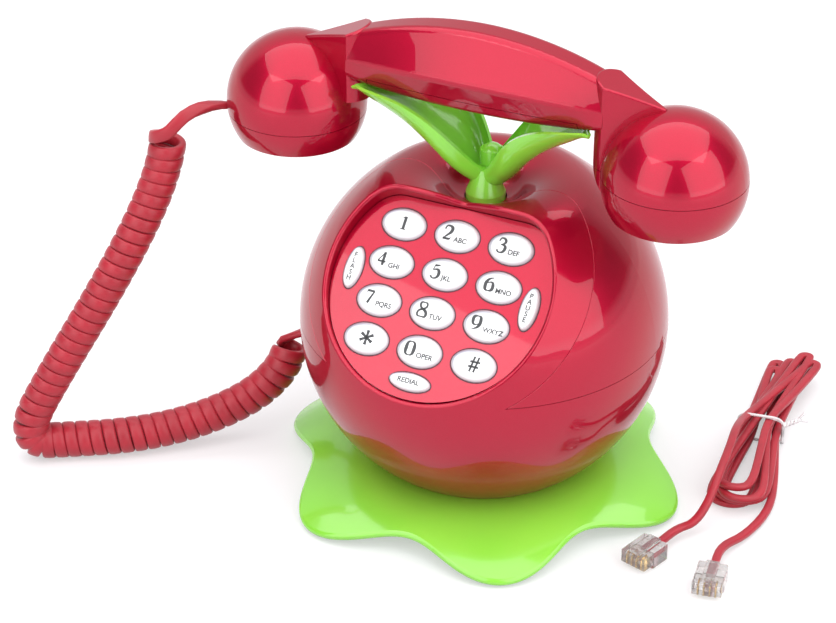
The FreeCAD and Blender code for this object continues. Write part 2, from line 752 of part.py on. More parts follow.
# Leaf cradle
LEAF_STATIONS = (
    # share of the reach, keel: back and height, front rim: back and height, back rim: back and height
    (0.00, 1.5, 106.6, -2.2, 115.2, 8.0, 116.5),
    (0.10, 2.0, 109.0, -6.1, 119.9, 11.0, 122.5),
    (0.23, 1.0, 113.5, -11.0, 128.0, 13.5, 130.0),
    (0.38, -1.0, 121.0, -14.5, 134.8, 12.5, 136.0),
    (0.62, -3.5, 130.0, -16.8, 140.2, 9.5, 139.6),
    (0.81, -5.5, 135.4, -17.6, 142.0, 4.5, 140.6),
    (0.91, -9.5, 138.6, -16.6, 142.3, -3.4, 141.0),
    (1.00, -13.4, 140.4, -14.8, 141.7, -12.0, 141.3),
)


def trough(x, keel, front, back):
    """Cross-section of a cupped leaf: two arcs joined by short lips."""
    thick = size("leaf_thickness")
    lip = min(size("leaf_lip"), (back.y - front.y) / 3)
    depth = min(front.z, back.z) - keel.z
    inner_front = front + Vector(0, lip, 0)
    inner_back = back - Vector(0, lip, 0)
    inner_keel = keel + Vector(0, 0, min(thick, depth * 0.6))
    spots = [Vector(x, spot.y, spot.z) for spot in (front, keel, back, inner_back, inner_keel, inner_front)]
    return Part.Wire([Part.Arc(*spots[:3]).toShape(), Part.LineSegment(spots[2], spots[3]).toShape(),
                      Part.Arc(*spots[3:]).toShape(), Part.LineSegment(spots[5], spots[0]).toShape()])


def leaf_solid(side):
    reach = size("leaf_reach")
    lift = size("leaf_tip_height") - LEAF_STATIONS[-1][2]
    wires = []
    for share, *spots in LEAF_STATIONS:
        keel, front, back = [Vector(0, spots[k], spots[k + 1] + lift) for k in (0, 2, 4)]
        wires.append(trough(side * share * reach, keel, front, back))
    return Part.makeLoft(wires, True, False)


def cradle_parts():
    foot = size("stalk_foot")
    stalk = solid("Cylinder", "stalk", {"Radius": "stalk_radius", "Height": "stalk_top - stalk_foot"},
                  at(z=foot))
    groove_z = foot + size("clip_groove")
    groove_outer = solid("Cylinder", "clip_groove_outer",
                         {"Radius": "stalk_radius * 2", "Height": "clip_thickness"},
                         at(z=groove_z))
    groove_core = solid("Cylinder", "clip_groove_core",
                        {"Radius": "stalk_radius - clip_groove_depth", "Height": "clip_thickness"},
                        at(z=groove_z))
    groove = cut("clip_groove_ring", groove_outer, groove_core)
    pocket = solid("Cylinder", "spring_pocket", {"Radius": "spring_radius + spring_wire + spring_room",
                                                     "Height": "spring_pocket_depth"},
                   at(z=foot))
    leaves = [feature("leaf_%d" % k, leaf_solid(side)) for k, side in enumerate((-1, 1))]
    crown = solid("Cone", "stalk_crown_cone", {"Radius1": "stalk_radius", "Radius2": "stalk_crown",
                                               "Height": "crown_height"}, at(z=size("stalk_top")))
    cut("cradle_leaves", fuse("cradle_blank", stalk, crown, *leaves), groove, pocket)
    clip_ring = solid("Cylinder", "clip_ring", {"Radius": "clip_radius", "Height": "clip_thickness"},
                      at(z=groove_z))
    clip_bore = solid("Cylinder", "clip_bore",
                      {"Radius": "stalk_radius - clip_groove_depth", "Height": "clip_thickness * 3"},
                      at(z=groove_z - size("clip_thickness")))
    mouth = solid("Box", "clip_mouth", {"Length": "clip_radius * 2", "Width": "stalk_radius",
                                        "Height": "clip_thickness * 3"},
                  at(-2 * size("clip_radius"), -size("stalk_radius") / 2, groove_z - size("clip_thickness")))
    cut("cradle_clip", clip_ring, clip_bore, mouth)
    back = size("knob_back")
    stem = solid("Cone", "knob_stem", {"Radius1": "knob_radius * 1.05", "Radius2": "knob_radius * 0.98",
                                       "Height": "knob_height - knob_foot - knob_radius * 0.5"},
                 at(y=back, z=size("knob_foot")))
    dome = solid("Sphere", "knob_dome", {"Radius": "knob_radius"},
                 at(y=back, z=size("knob_height") - size("knob_radius")))
    crown_print = solid("Cone", "knob_crown_print", {"Radius1": "stalk_radius", "Radius2": "stalk_crown",
                                                     "Height": "crown_height"}, at(z=size("stalk_top")))
    cut("stem_knob", fuse("knob_blank", stem, dome), crown_print,
        *[feature("knob_print_%d" % k, leaf_solid(side)) for k, side in enumerate((-1, 1))])


# Tubes along arcs
def arc_from(start, tangent, end):
    """Arc that leaves start along tangent and ends at end, or a line if they are in line."""
    chord = end - start
    along = Vector(chord).normalize()
    side = tangent - along * tangent.dot(along)
    if side.Length < 1e-6:
        return Part.LineSegment(start, end).toShape()
    half = math.atan2(side.Length, tangent.dot(along))
    rise = chord.Length / 2 * math.tan(half / 2)
    middle = (start + end) * 0.5 + side.normalize() * rise
    return Part.Arc(start, middle, end).toShape()


def biarc(first, first_tangent, last, last_tangent):
    """Two arcs that share a tangent where they meet."""
    gap = last - first
    spread = 2 * (1 - first_tangent.dot(last_tangent))
    lean = gap.dot(first_tangent + last_tangent)
    if abs(spread) < 1e-9:
        reach = gap.dot(gap) / (2 * lean)
    else:
        reach = (-lean + math.sqrt(lean ** 2 + spread * gap.dot(gap))) / spread
    meet = (first + last + (first_tangent - last_tangent) * reach) * 0.5
    middle_tangent = (last - first - (first_tangent + last_tangent) * reach)
    middle_tangent.normalize()
    return [arc_from(first, first_tangent, meet), arc_from(meet, middle_tangent, last)]


def tube_along(edges, radius):
    path = Part.Wire(edges)
    start = path.OrderedVertexes[0].Point
    first = edges[0]
    heading = first.tangentAt(first.FirstParameter)
    rim = Part.Wire(Part.Circle(start, heading, radius).toShape())
    return path.makePipeShell([rim], True, False)


def least_gap(edges, apart):
    """Least distance between points of a path that are further apart than this along it."""
    points = []
    along = []
    start = 0.0
    for edge in edges:
        count = max(int(edge.Length), 3)
        for k, point in enumerate(edge.discretize(count + 1)[:-1]):
            points.append(point)
            along.append(start + edge.Length * k / count)
        start += edge.Length
    best = start
    for k, point in enumerate(points):
        for j in range(k + 1, len(points)):
            if along[j] - along[k] > apart:
                best = min(best, point.distanceToPoint(points[j]))
    return best


def route_edges(points):
    """Straight runs with the largest tangent arcs that they leave room for; returns edges and radii."""
    points = [Vector(*point) for point in points]
    runs = [points[k + 1] - points[k] for k in range(len(points) - 1)]
    edges = []
    radii = []
    last = points[0]
    for k in range(1, len(points) - 1):
        back = Vector(runs[k - 1]).normalize()
        ahead = Vector(runs[k]).normalize()
        trim = 0.45 * min(runs[k - 1].Length, runs[k].Length)
        turn = back.getAngle(ahead)
        radii.append(trim / math.tan(turn / 2))
        begin = points[k] - back * trim
        end = points[k] + ahead * trim
        edges.append(Part.LineSegment(last, begin).toShape())
        edges.append(arc_from(begin, back, end))
        last = end
    edges.append(Part.LineSegment(last, points[-1]).toShape())
    return edges, radii


def cord_run(name, points, diameter):
    edges, radii = route_edges(points)
    print(name, "length %.0f" % sum(edge.Length for edge in edges), "radii",
          [round(radius, 1) for radius in radii])
    return feature(name, tube_along(edges, diameter / 2))


# Hook spring
def hook_spring():
    wire = size("spring_wire")
    radius = size("spring_radius")
    low = spring_foot() + wire / 2
    high = size("stalk_foot") + size("spring_pocket_depth") - wire / 2
    halves = int(2 * size("spring_turns"))
    rise = (high - low) / halves
    slope = rise / math.pi / radius
    edges = []
    for k in range(halves):
        ends = []
        for step in (k, k + 1):
            angle = math.pi * step
            spot = Vector(radius * math.cos(angle), radius * math.sin(angle), low + rise * step)
            heading = Vector(-math.sin(angle), math.cos(angle), slope)
            ends.append((spot, heading.normalize()))
        edges += biarc(*ends[0], *ends[1])
    print("hook_spring least gap %.2f" % (least_gap(edges, 4 * radius) - wire))
    feature("hook_spring", tube_along(edges, wire / 2))


# Handset
def bar_wire(x, inset):
    """Six-sided bar section with rounded corners, in the plane at x."""
    share = (x / size("bar_half_length")) ** 2
    top = size("bar_top") - size("bar_top_drop") * share - inset
    bottom = size("bar_bottom") + size("bar_bottom_rise") * share + inset
    half = size("bar_half_width") - size("bar_taper") * share - inset
    waist = (top + bottom) / 2 - (top - bottom) * 0.04
    y = -size("handset_forward")
    top_half = size("bar_top_half") - inset * 0.5
    bottom_half = size("bar_bottom_half") - inset * 0.6
    corners = [Vector(x, y - top_half, top), Vector(x, y + top_half, top), Vector(x, y + half, waist),
               Vector(x, y + bottom_half, bottom), Vector(x, y - bottom_half, bottom),
               Vector(x, y - half, waist)]
    radius = size("bar_rounding")
    edges = []
    spots = []
    for k, corner in enumerate(corners):
        back = Vector(corners[k - 1] - corner).normalize()
        ahead = Vector(corners[(k + 1) % 6] - corner).normalize()
        trim = radius / math.tan(back.getAngle(ahead) / 2)
        begin = corner + back * trim
        end = corner + ahead * trim
        spots.append((begin, end, back * -1))
    for k, (begin, end, heading) in enumerate(spots):
        edges.append(arc_from(begin, heading, end))
        edges.append(Part.LineSegment(end, spots[(k + 1) % 6][0]).toShape())
    return Part.Wire(edges)


BAR_STATIONS = (-1.0, -0.75, -0.4, 0.0, 0.4, 0.75, 1.0)


def bar_solid(inset, half_length):
    return Part.makeLoft([bar_wire(half_length * share, inset) for share in BAR_STATIONS], True, False)


def hood_solid(side):
    """Neck under the end of the bar, with a hood that runs in a ridge to a tip on top of the ball."""
    centre = size("handset_half_span")
    level = size("handset_height")
    y = -size("handset_forward")
    bend = size("neck_round")
    inner = size("neck_reach")
    edge = size("hood_edge_reach")
    edge_half = math.sqrt(bend ** 2 - (edge - inner + bend) ** 2)
    waist_half = size("hood_waist_half")
    tip = size("hood_tip_reach")
    tip_half = size("hood_tip_half")
    curve = size("neck_curve")
    turn = level + size("neck_turn_rise")
    low = level - size("ball_flat")

    def spot(reach, across, height):
        return Vector(side * (centre - reach), y + across, height)

    plan = Part.Wire([
        Part.Arc(spot(edge, -edge_half, low), spot(inner, 0, low), spot(edge, edge_half, low)).toShape(),
        Part.Arc(spot(edge, edge_half, low), spot(size("hood_waist_reach"), waist_half, low),
                 spot(tip, tip_half, low)).toShape(),
        Part.LineSegment(spot(tip, tip_half, low), spot(tip, -tip_half, low)).toShape(),
        Part.Arc(spot(tip, -tip_half, low), spot(size("hood_waist_reach"), -waist_half, low),
                 spot(edge, -edge_half, low)).toShape()])
    column = Part.Face(plan).extrude(Vector(0, 0, FAR))

    # Ridge from just above the bar's end down to the tip on the ball, and the neck drawn in under it
    share = ((centre - inner) / size("bar_half_length")) ** 2
    ridge_start = size("bar_top") - size("bar_top_drop") * share + size("hood_step")
    ridge_end = level + math.sqrt(size("ball_radius") ** 2 - tip ** 2) + size("hood_step")
    slope = (ridge_start - ridge_end) / (inner - tip)
    past = curve
    corners = [spot(inner + past, -FAR / 2, ridge_start + slope * past),
               spot(tip - past, -FAR / 2, ridge_end - slope * past),
               spot(tip - past, -FAR / 2, turn), spot(inner + past, -FAR / 2, turn)]
    upper = Part.Face(Part.makePolygon(corners + corners[:1])).extrude(Vector(0, FAR, 0))
    below = Part.makeBox(2 * FAR, 2 * FAR, FAR, Vector(-FAR, -FAR, turn - FAR))
    drawn_in = Part.makeSphere(curve, spot(inner - curve, 0, turn)).common(below)
    top = column.common(upper)
    ridge = [edge for edge in top.Edges if min(vertex.Z for vertex in edge.Vertexes) > ridge_end - 1.0
             and abs(edge.tangentAt(edge.FirstParameter).z) < 0.9]
    return top.makeFillet(size("hood_rounding"), ridge).fuse(column.common(drawn_in))


def handset_parts():
    y = -size("handset_forward")
    level = size("handset_height")
    span = size("handset_half_span")
    half = size("bar_half_length")
    flat = level - size("ball_flat")
    gap = size("seam_gap")
    ends = ((-1, "receiver"), (1, "mouthpiece"))
    bar = feature("bar_blank", bar_solid(0.0, half))
    bar_room = feature("bar_room", bar_solid(size("bar_wall"), half - size("bar_end_wall")))
    balls = [solid("Sphere", "ball_%d" % k, {"Radius": "ball_radius"}, at(side * span, y, level))
             for k, (side, _) in enumerate(ends)]
    rooms = [solid("Sphere", "ball_room_%d" % k, {"Radius": "ball_radius - ball_wall"},
                   at(side * span, y, level))
             for k, (side, _) in enumerate(ends)]
    limits = [above("ball_limit_%d" % k, flat) for k in range(2)]
    floors = [above("ball_floor_%d" % k, flat + size("ball_wall")) for k in range(2)]
    cut_balls = [common("flat_ball_%d" % k, balls[k], limits[k]) for k in range(2)]
    cut_rooms = [common("flat_room_%d" % k, rooms[k], floors[k]) for k in range(2)]
    hoods = [feature("hood_%d" % k, hood_solid(side)) for k, (side, _) in enumerate(ends)]
    whole = fuse("handset_whole", bar, *cut_balls, *hoods)
    exit_hole = solid("Cylinder", "handset_cord_hole", {"Radius": "curl_wire / 2 + gland_wall + screw_gap",
                                                        "Height": "ball_radius"},
                      aimed(*handset_gland_seat(), -4 * size("ball_wall")))
    hollow = cut("handset_hollow", whole, bar_room, *cut_rooms, exit_hole)

    # Caps under the balls, with sound holes, and the belly cover under the bar
    uppers = []
    for k, (side, name) in enumerate(ends):
        seam = at(side * span, y, level - size(name + "_seam_drop"))
        block = solid("Box", name + "_zone_block",
                      {"Length": "ball_radius * 2.4", "Width": "ball_radius * 2.4",
                                                    "Height": "ball_radius * 2"},
                      seam.multiply(at(-1.2 * size("ball_radius"), -1.2 * size("ball_radius"),
                                       -2 * size("ball_radius"))))
        block_gap = solid("Box", name + "_gap_block",
                          {"Length": "ball_radius * 2.4", "Width": "ball_radius * 2.4",
                                                       "Height": "ball_radius * 2"},
                          seam.multiply(at(-1.2 * size("ball_radius"), -1.2 * size("ball_radius"),
                                           -2 * size("ball_radius") + gap)))
        uppers.append(block_gap)
        holes = [solid("Cylinder", name + "_hole_0", {"Radius": "sound_hole_radius", "Height": "ball_radius"},
                       at(side * span, y, flat - 2 * size("drill_over")))]
        holes += [solid("Cylinder", "%s_hole_%d" % (name, j + 1), {"Radius": "sound_hole_radius",
                                                                   "Height": "ball_radius"},
                        at(side * span, y).multiply(place))
                  for j, place in enumerate(ring_places(6, size("sound_hole_circle"),
                                                        flat - 2 * size("drill_over")))]
        cut(name + "_cap", common(name + "_cap_blank", hollow, block), *holes)
    low_zone = solid("Box", "belly_zone", {"Length": "belly_half_length * 2", "Width": "bar_half_width * 4",
                                           "Height": "bar_half_width * 2"},
                     at(-size("belly_half_length"), y - 2 * size("bar_half_width"),
                        size("belly_height") - 2 * size("bar_half_width")))
    low_gap = solid("Box", "belly_gap", {"Length": "belly_half_length * 2 + seam_gap * 2",
                                         "Width": "bar_half_width * 4",
                                         "Height": "bar_half_width * 2 + seam_gap"},
                    at(-size("belly_half_length") - gap, y - 2 * size("bar_half_width"),
                       size("belly_height") - 2 * size("bar_half_width")))
    belly = common("belly_blank", hollow, low_zone)
    spots = [at(side * size("handset_screw_reach"), y) for side in (-1, 1)]
    drill = [solid("Cylinder", "belly_hole_%d" % k,
                   {"Radius": "screw_radius + screw_gap", "Height": "handset_drill"},
                   place.multiply(at(z=size("bar_bottom") - size("handset_drill") / 4)))
                   for k, place in enumerate(spots)]
    sink = [solid("Cylinder", "belly_sink_%d" % k, {"Radius": "screw_head_radius + screw_gap * 2",
                                                     "Height": "belly_sink"},
                  place.multiply(at(z=size("belly_height") - size("belly_floor") - size("belly_sink"))))
                  for k, place in enumerate(spots)]
    pads = [solid("Cylinder", "belly_pad_%d" % k,
                  {"Radius": "screw_head_radius + boss_wall", "Height": "belly_pad"},
                  place.multiply(at(z=size("belly_height") - size("belly_pad"))))
                  for k, place in enumerate(spots)]
    pads = [common("belly_pad_fit_%d" % k, pad, bar) for k, pad in enumerate(pads)]
    cut("handset_belly", fuse("belly_with_pads", belly, *pads), *drill, *sink)
    columns = [solid("Cylinder", "handset_column_%d" % k,
                     {"Radius": "screw_radius + boss_wall", "Height": "handset_drill"},
                     place.multiply(at(z=size("belly_height") + gap))) for k, place in enumerate(spots)]
    columns = [common("handset_column_fit_%d" % k, column, bar) for k, column in enumerate(columns)]
    upper = cut("handset_upper_blank", hollow, *uppers, low_gap)
    drill_up = [solid("Cylinder", "handset_column_hole_%d" % k, {"Radius": "screw_radius + screw_gap",
                                                                    "Height": "handset_screw_length + drill_over / 2"},
                      place.multiply(at(z=size("belly_height") - size("drill_over") / 2)))
                      for k, place in enumerate(spots)]
    cut("handset_shell", fuse("handset_shell_blank", upper, *columns), *drill_up)
    group("handset_screws",
          [screw("handset_screw_%d" % k, place.multiply(at(z=size("belly_height") - size("belly_floor"))),
                                   size("handset_screw_length"))
                             for k, place in enumerate(spots)])
    floor = flat + size("ball_wall")
    ring = solid("Cylinder", "gasket_disc", {"Radius": "capsule_radius", "Height": "gasket_thickness"},
                 at(-span, y, floor))
    eye = solid("Cylinder", "gasket_eye",
                {"Radius": "capsule_radius - gasket_width", "Height": "gasket_thickness * 3"},
                at(-span, y, floor - size("gasket_thickness")))
    cut("receiver_gasket", ring, eye)
    case = solid("Cylinder", "capsule_case", {"Radius": "capsule_radius", "Height": "capsule_height"},
                 at(-span, y, floor + size("gasket_thickness")))
    magnet = solid("Cylinder", "capsule_magnet", {"Radius": "capsule_radius / 2", "Height": "magnet_height"},
                   at(-span, y, floor + size("gasket_thickness") + size("capsule_height")))
    fuse("receiver_capsule", case, magnet)
    holder = solid("Cylinder", "holder_body",
                   {"Radius": "microphone_radius + holder_wall", "Height": "microphone_height"},
                   at(span, y, floor))
    holder_bore = solid("Cylinder", "holder_bore",
                        {"Radius": "microphone_radius", "Height": "microphone_height * 3"},
                        at(span, y, floor - size("microphone_height")))
    cut("microphone_holder", holder, holder_bore)
    solid("Cylinder", "microphone_capsule", {"Radius": "microphone_radius", "Height": "microphone_height"},
          at(span, y, floor))
    solid("Box", "handset_weight", {"Length": "weight_length", "Width": "bar_bottom_half * 1.5",
                                    "Height": "weight_height"},
          at(-size("weight_length") / 2, y - size("bar_bottom_half") * 0.75, size("belly_height")))


# Strain reliefs
def aimed(spot, way, along=0.0):
    """Placement whose local +Z points along way, moved along it."""
    return Placement(spot + way * along, Rotation(Vector(0, 0, 1), way))


def body_gland_seat():
    """Where the curly cord leaves the body, and the outward direction there."""
    rise = size("gland_level") - size("body_centre_height")
    reach = math.sqrt(size("body_radius") ** 2 - rise ** 2)
    dip = math.radians(size("gland_dip"))
    return Vector(-reach, 0, size("gland_level")), Vector(-math.cos(dip), 0, -math.sin(dip))


def handset_gland_seat():
    """Where the curly cord leaves the handset, and the outward direction there."""
    turn = math.radians(size("handset_gland_turn"))
    way = Vector(-math.cos(turn), -math.sin(turn), 0)
    reach = math.sqrt(size("ball_radius") ** 2 - size("cord_exit_drop") ** 2)
    centre = Vector(-size("handset_half_span"), -size("handset_forward"),
                    size("handset_height") - size("cord_exit_drop"))
    return centre + way * reach, way


def sleeve(name, seat, carriers):
    """Flanged sleeve through the wall of its carriers."""
    collar = solid("Cylinder", name + "_collar", {"Radius": "gland_radius + gland_wall",
                                                  "Height": "gland_collar * 2"},
                                                  aimed(*seat, -size("gland_collar")))
    cone = solid("Cone", name + "_cone", {"Radius1": "gland_radius", "Radius2": "gland_radius * 0.75",
                                          "Height": "gland_length"}, aimed(*seat, size("gland_collar")))
    tail = solid("Cylinder", name + "_tail",
                 {"Radius": "curl_wire / 2 + gland_wall", "Height": "shell_wall * 2"},
                 aimed(*seat, -2 * size("shell_wall")))
    return cut(name, fuse(name + "_blank", collar, cone, tail),
               *[DOC.getObject(carrier) for carrier in carriers])


# Curly cord: the middle line of its curls, from the handset down to the floor and up to the body
CURL_ROUTE = ((-105.0, -23.5, 111.0), (-115.8, -39.8, 74.0), (-139.3, -60.3, 19.8), (-132.2, -57.0, 6.6),
              (-115.2, -45.9, 6.6), (-102.1, -34.9, 7.2), (-90.0, -24.5, 10.4), (-79.5, -15.3, 16.0),
              (-73.0, -8.0, 23.5))
CURL_START = Vector(-0.8, -0.5, 0.0)
CURL_FINISH = Vector(0.8, 0.5, 0.2)


def curl_axis():
    """Points along the middle of the curls, about a millimetre apart, with the distance along."""
    edges, radii = route_edges(CURL_ROUTE)
    print("curl axis radii", [round(radius, 1) for radius in radii])
    points = []
    for edge in edges:
        count = max(int(edge.Length), 2)
        points += edge.discretize(count + 1)[:-1]
    points.append(Vector(*CURL_ROUTE[-1]))
    along = [0.0]
    for k in range(1, len(points)):
        along.append(along[-1] + (points[k] - points[k - 1]).Length)
    return points, along


def curl_frames(points):
    """Along the axis and two directions across it at each point, carried along without twist."""
    last = len(points) - 1
    tangents = [Vector(points[min(k + 1, last)] - points[max(k - 1, 0)]).normalize() for k in range(last + 1)]
    across = CURL_START
    frames = []
    for tangent in tangents:
        across = across - tangent * across.dot(tangent)
        across.normalize()
        frames.append((tangent, across.cross(tangent), Vector(across)))
    return frames


def curl_pitch(along):
    """Close turns above, open ones round the bend, even ones along the floor."""
    bend = sum((Vector(*CURL_ROUTE[k + 1]) - Vector(*CURL_ROUTE[k])).Length for k in range(2))
    wide = size("curl_corner_pitch")
    if along < bend - 2 * wide:
        return size("curl_pitch")
    if along < bend + 3 * wide:
        return wide
    return size("curl_floor_pitch")


def curl_stations():
    """Points and headings on the wire, half a turn apart, with the number of turns."""
    points, along = curl_axis()
    frames = curl_frames(points)
    turned = [0.0]
    for k in range(1, len(points)):
        pitch = curl_pitch((along[k] + along[k - 1]) / 2)
        turned.append(turned[-1] + 2 * math.pi / pitch * (along[k] - along[k - 1]))
    side, turn = frames[-1][1:]
    finish = math.atan2(-CURL_FINISH.dot(side), CURL_FINISH.dot(turn))
    whole = 2 * math.pi * round((turned[-1] - finish) / (2 * math.pi)) + finish
    turned = [angle * whole / turned[-1] for angle in turned]

    def spot(angle):
        low = max(k for k in range(len(turned) - 1) if turned[k] <= angle)
        share = (angle - turned[low]) / (turned[low + 1] - turned[low])
        centre = points[low] * (1 - share) + points[low + 1] * share
        axis, side, turn = [frames[low][j] * (1 - share) + frames[low + 1][j] * share for j in range(3)]
        near_start = max(1 - angle / math.pi, 0.0)
        near_end = max(1 - (whole - angle) / math.pi, 0.0)
        shift = size("curl_lift") * (near_end ** 2 - near_start ** 2)
        radius = size("curl_radius") + size("curl_flare") * near_start ** 2
        return centre + axis * shift + side * (radius * math.cos(angle)) + turn * (radius * math.sin(angle))

    halves = int(round(whole / math.pi))
    small = 0.002
    stations = []
    for k in range(halves + 1):
        angle = min(max(k * whole / halves, small), whole - small)
        heading = spot(angle + small * 0.9) - spot(angle - small * 0.9)
        stations.append((spot(angle), heading.normalize()))
    return stations, whole / (2 * math.pi)


def curly_cord():
    wire = size("curl_wire")
    tip = size("gland_collar") + size("gland_length")
    handset_seat, handset_way = handset_gland_seat()
    body_seat, body_way = body_gland_seat()
    first = handset_seat + handset_way * (tip + size("cord_gap"))
    last = body_seat + body_way * tip
    stations, turns = curl_stations()
    stations.insert(0, (first + handset_way * wire, handset_way))
    stations.append((last + body_way * wire, body_way * -1))
    edges = [Part.LineSegment(first, stations[0][0]).toShape()]
    for k in range(len(stations) - 1):
        edges += biarc(*stations[k], *stations[k + 1])
    edges.append(Part.LineSegment(stations[-1][0], last).toShape())
    leads = [edge.Curve.Radius for edge in edges[1:3] + edges[-3:-1] if hasattr(edge.Curve, "Radius")]
    print("curly_cord turns %.1f" % turns, "length %.0f" % sum(edge.Length for edge in edges),
          "least gap %.2f" % (least_gap(edges, 3 * wire) - wire), "lead radii",
          [round(radius, 1) for radius in leads])
    feature("curly_cord", tube_along(edges, wire / 2))
    sleeve("body_gland", (body_seat, body_way), ["front_shell"])
    sleeve("handset_gland", (handset_seat, handset_way), ["handset_shell", "receiver_cap"])


# Line cord: a hank of long loops, drawn in at the waist by a tie
HANK_CENTRE = Vector(79.0, 56.0, 0.0)
HANK_TURN = 99.4
HALF_LOOPS = 11
HALVES_PER_LAYER = 3
HANK_WAIST = 1.55
HANK_WIDTH = 6.0
HANK_END = 44.0
FLOOR_GAP = 0.05
TIE_ROOM = 0.25
TIE_GAP = 0.15
TIE_TOP_GAP = 0.2
TIE_CORNER = 2.2
TIE_TWIST = 9.0
TIE_TWIST_DROP = 2.5
TIE_TWIST_WAY = Vector(0.3, -1.0, -0.25)


def hank_place():
    return Placement(HANK_CENTRE, Rotation(Vector(0, 0, 1), HANK_TURN))


def hank_stations():
    """Points and headings of the hank in its own frame: X along its length, Y to its left."""
    step = size("hank_step")
    low = size("line_wire") / 2 + FLOOR_GAP
    waist_lift = size("tie_wire") + TIE_ROOM
    outer = 0.5 * HALVES_PER_LAYER
    stations = []
    for quarter in range(4 * HALF_LOOPS + 1):
        progress = quarter / 4
        half, part = divmod(quarter, 4)
        layer = max(math.ceil(progress / HALVES_PER_LAYER) - 1, 0)
        into = progress - layer * HALVES_PER_LAYER
        ring = outer - 0.5 * into if layer % 2 == 0 else 0.5 * into
        way = 1 if half % 2 == 0 else -1
        level = low + step * layer
        waist = HANK_WAIST + step * ring
        width = HANK_WIDTH + step * ring
        end = HANK_END + step * ring
        if part == 0:
            stations.append((Vector(0, -way * waist, level + waist_lift), Vector(way, 0, 0)))
        elif part == 1:
            stations.append((Vector(way * (end - width), -way * width, level), Vector(way, 0, 0)))
        elif part == 2:
            stations.append((Vector(way * end, 0, level), Vector(0, way, 0)))
        else:
            stations.append((Vector(way * (end - width), way * width, level), Vector(-way, 0, 0)))
    return stations


TAIL_LEAD = 6.0
TAIL_GAP = 0.05
TAIL_TO_LEFT_PLUG = ((76.8, 38.8, 15.2), (79.2, 26.0, 15.2), (80.9, 12.6, 14.4), (81.6, 1.0, 9.4),
                     (79.6, -6.6, 4.8),
                     (74.7, -9.6, 3.3))
TAIL_TO_RIGHT_PLUG = ((93.6, 33.0, 1.5), (97.8, 16.0, 1.5), (95.6, -1.5, 1.6), (91.0, -13.0, 3.3))
LEFT_PLUG = ((72.4, -17.6, 3.3), -106.0)
RIGHT_PLUG = ((92.4, -21.0, 3.3), -80.0)
LEVER_TURN = 188.0


def plug_frame(spot, turn):
    """Local +X runs out of the plug's nose, the origin is where the cord goes in."""
    return Placement(Vector(*spot), Rotation(Vector(0, 0, 1), turn))


def line_plug(name, frame):
    half = size("plug_width") / 2
    tall = size("plug_height") / 2
    body = solid("Box", name + "_body",
                 {"Length": "plug_length", "Width": "plug_width", "Height": "plug_height"},
                 frame.multiply(at(0, -half, -tall)))
    notch = solid("Box", name + "_notch", {"Length": "plug_length / 3", "Width": "plug_width * 2",
                                           "Height": "plug_height / 4"},
                  frame.multiply(at(size("plug_length") * 0.8, -2 * half, -tall - size("contact_slot") / 3)))
    slots = [solid("Box", "%s_slot_%d" % (name, k), {"Length": "plug_length / 4", "Width": "contact_slot",
                                                     "Height": "plug_height / 2"},
                   frame.multiply(at(size("plug_length") * 0.78,
                                     (k - 1.5) * size("contact_pitch") - size("contact_slot") / 2,
                                     -tall - size("contact_slot"))))
             for k in range(4)]
    lever = solid("Box", name + "_lever", {"Length": "plug_length", "Width": "plug_width / 2.6",
                                         "Height": "lever_thickness"},
                  frame.multiply(at(size("plug_length") * 0.92, -half / 2.6,
                                    tall - size("lever_thickness") / 2,
                                    (0, 1, 0), LEVER_TURN)))
    cut(name, fuse(name + "_blank", body, lever), notch, *slots)


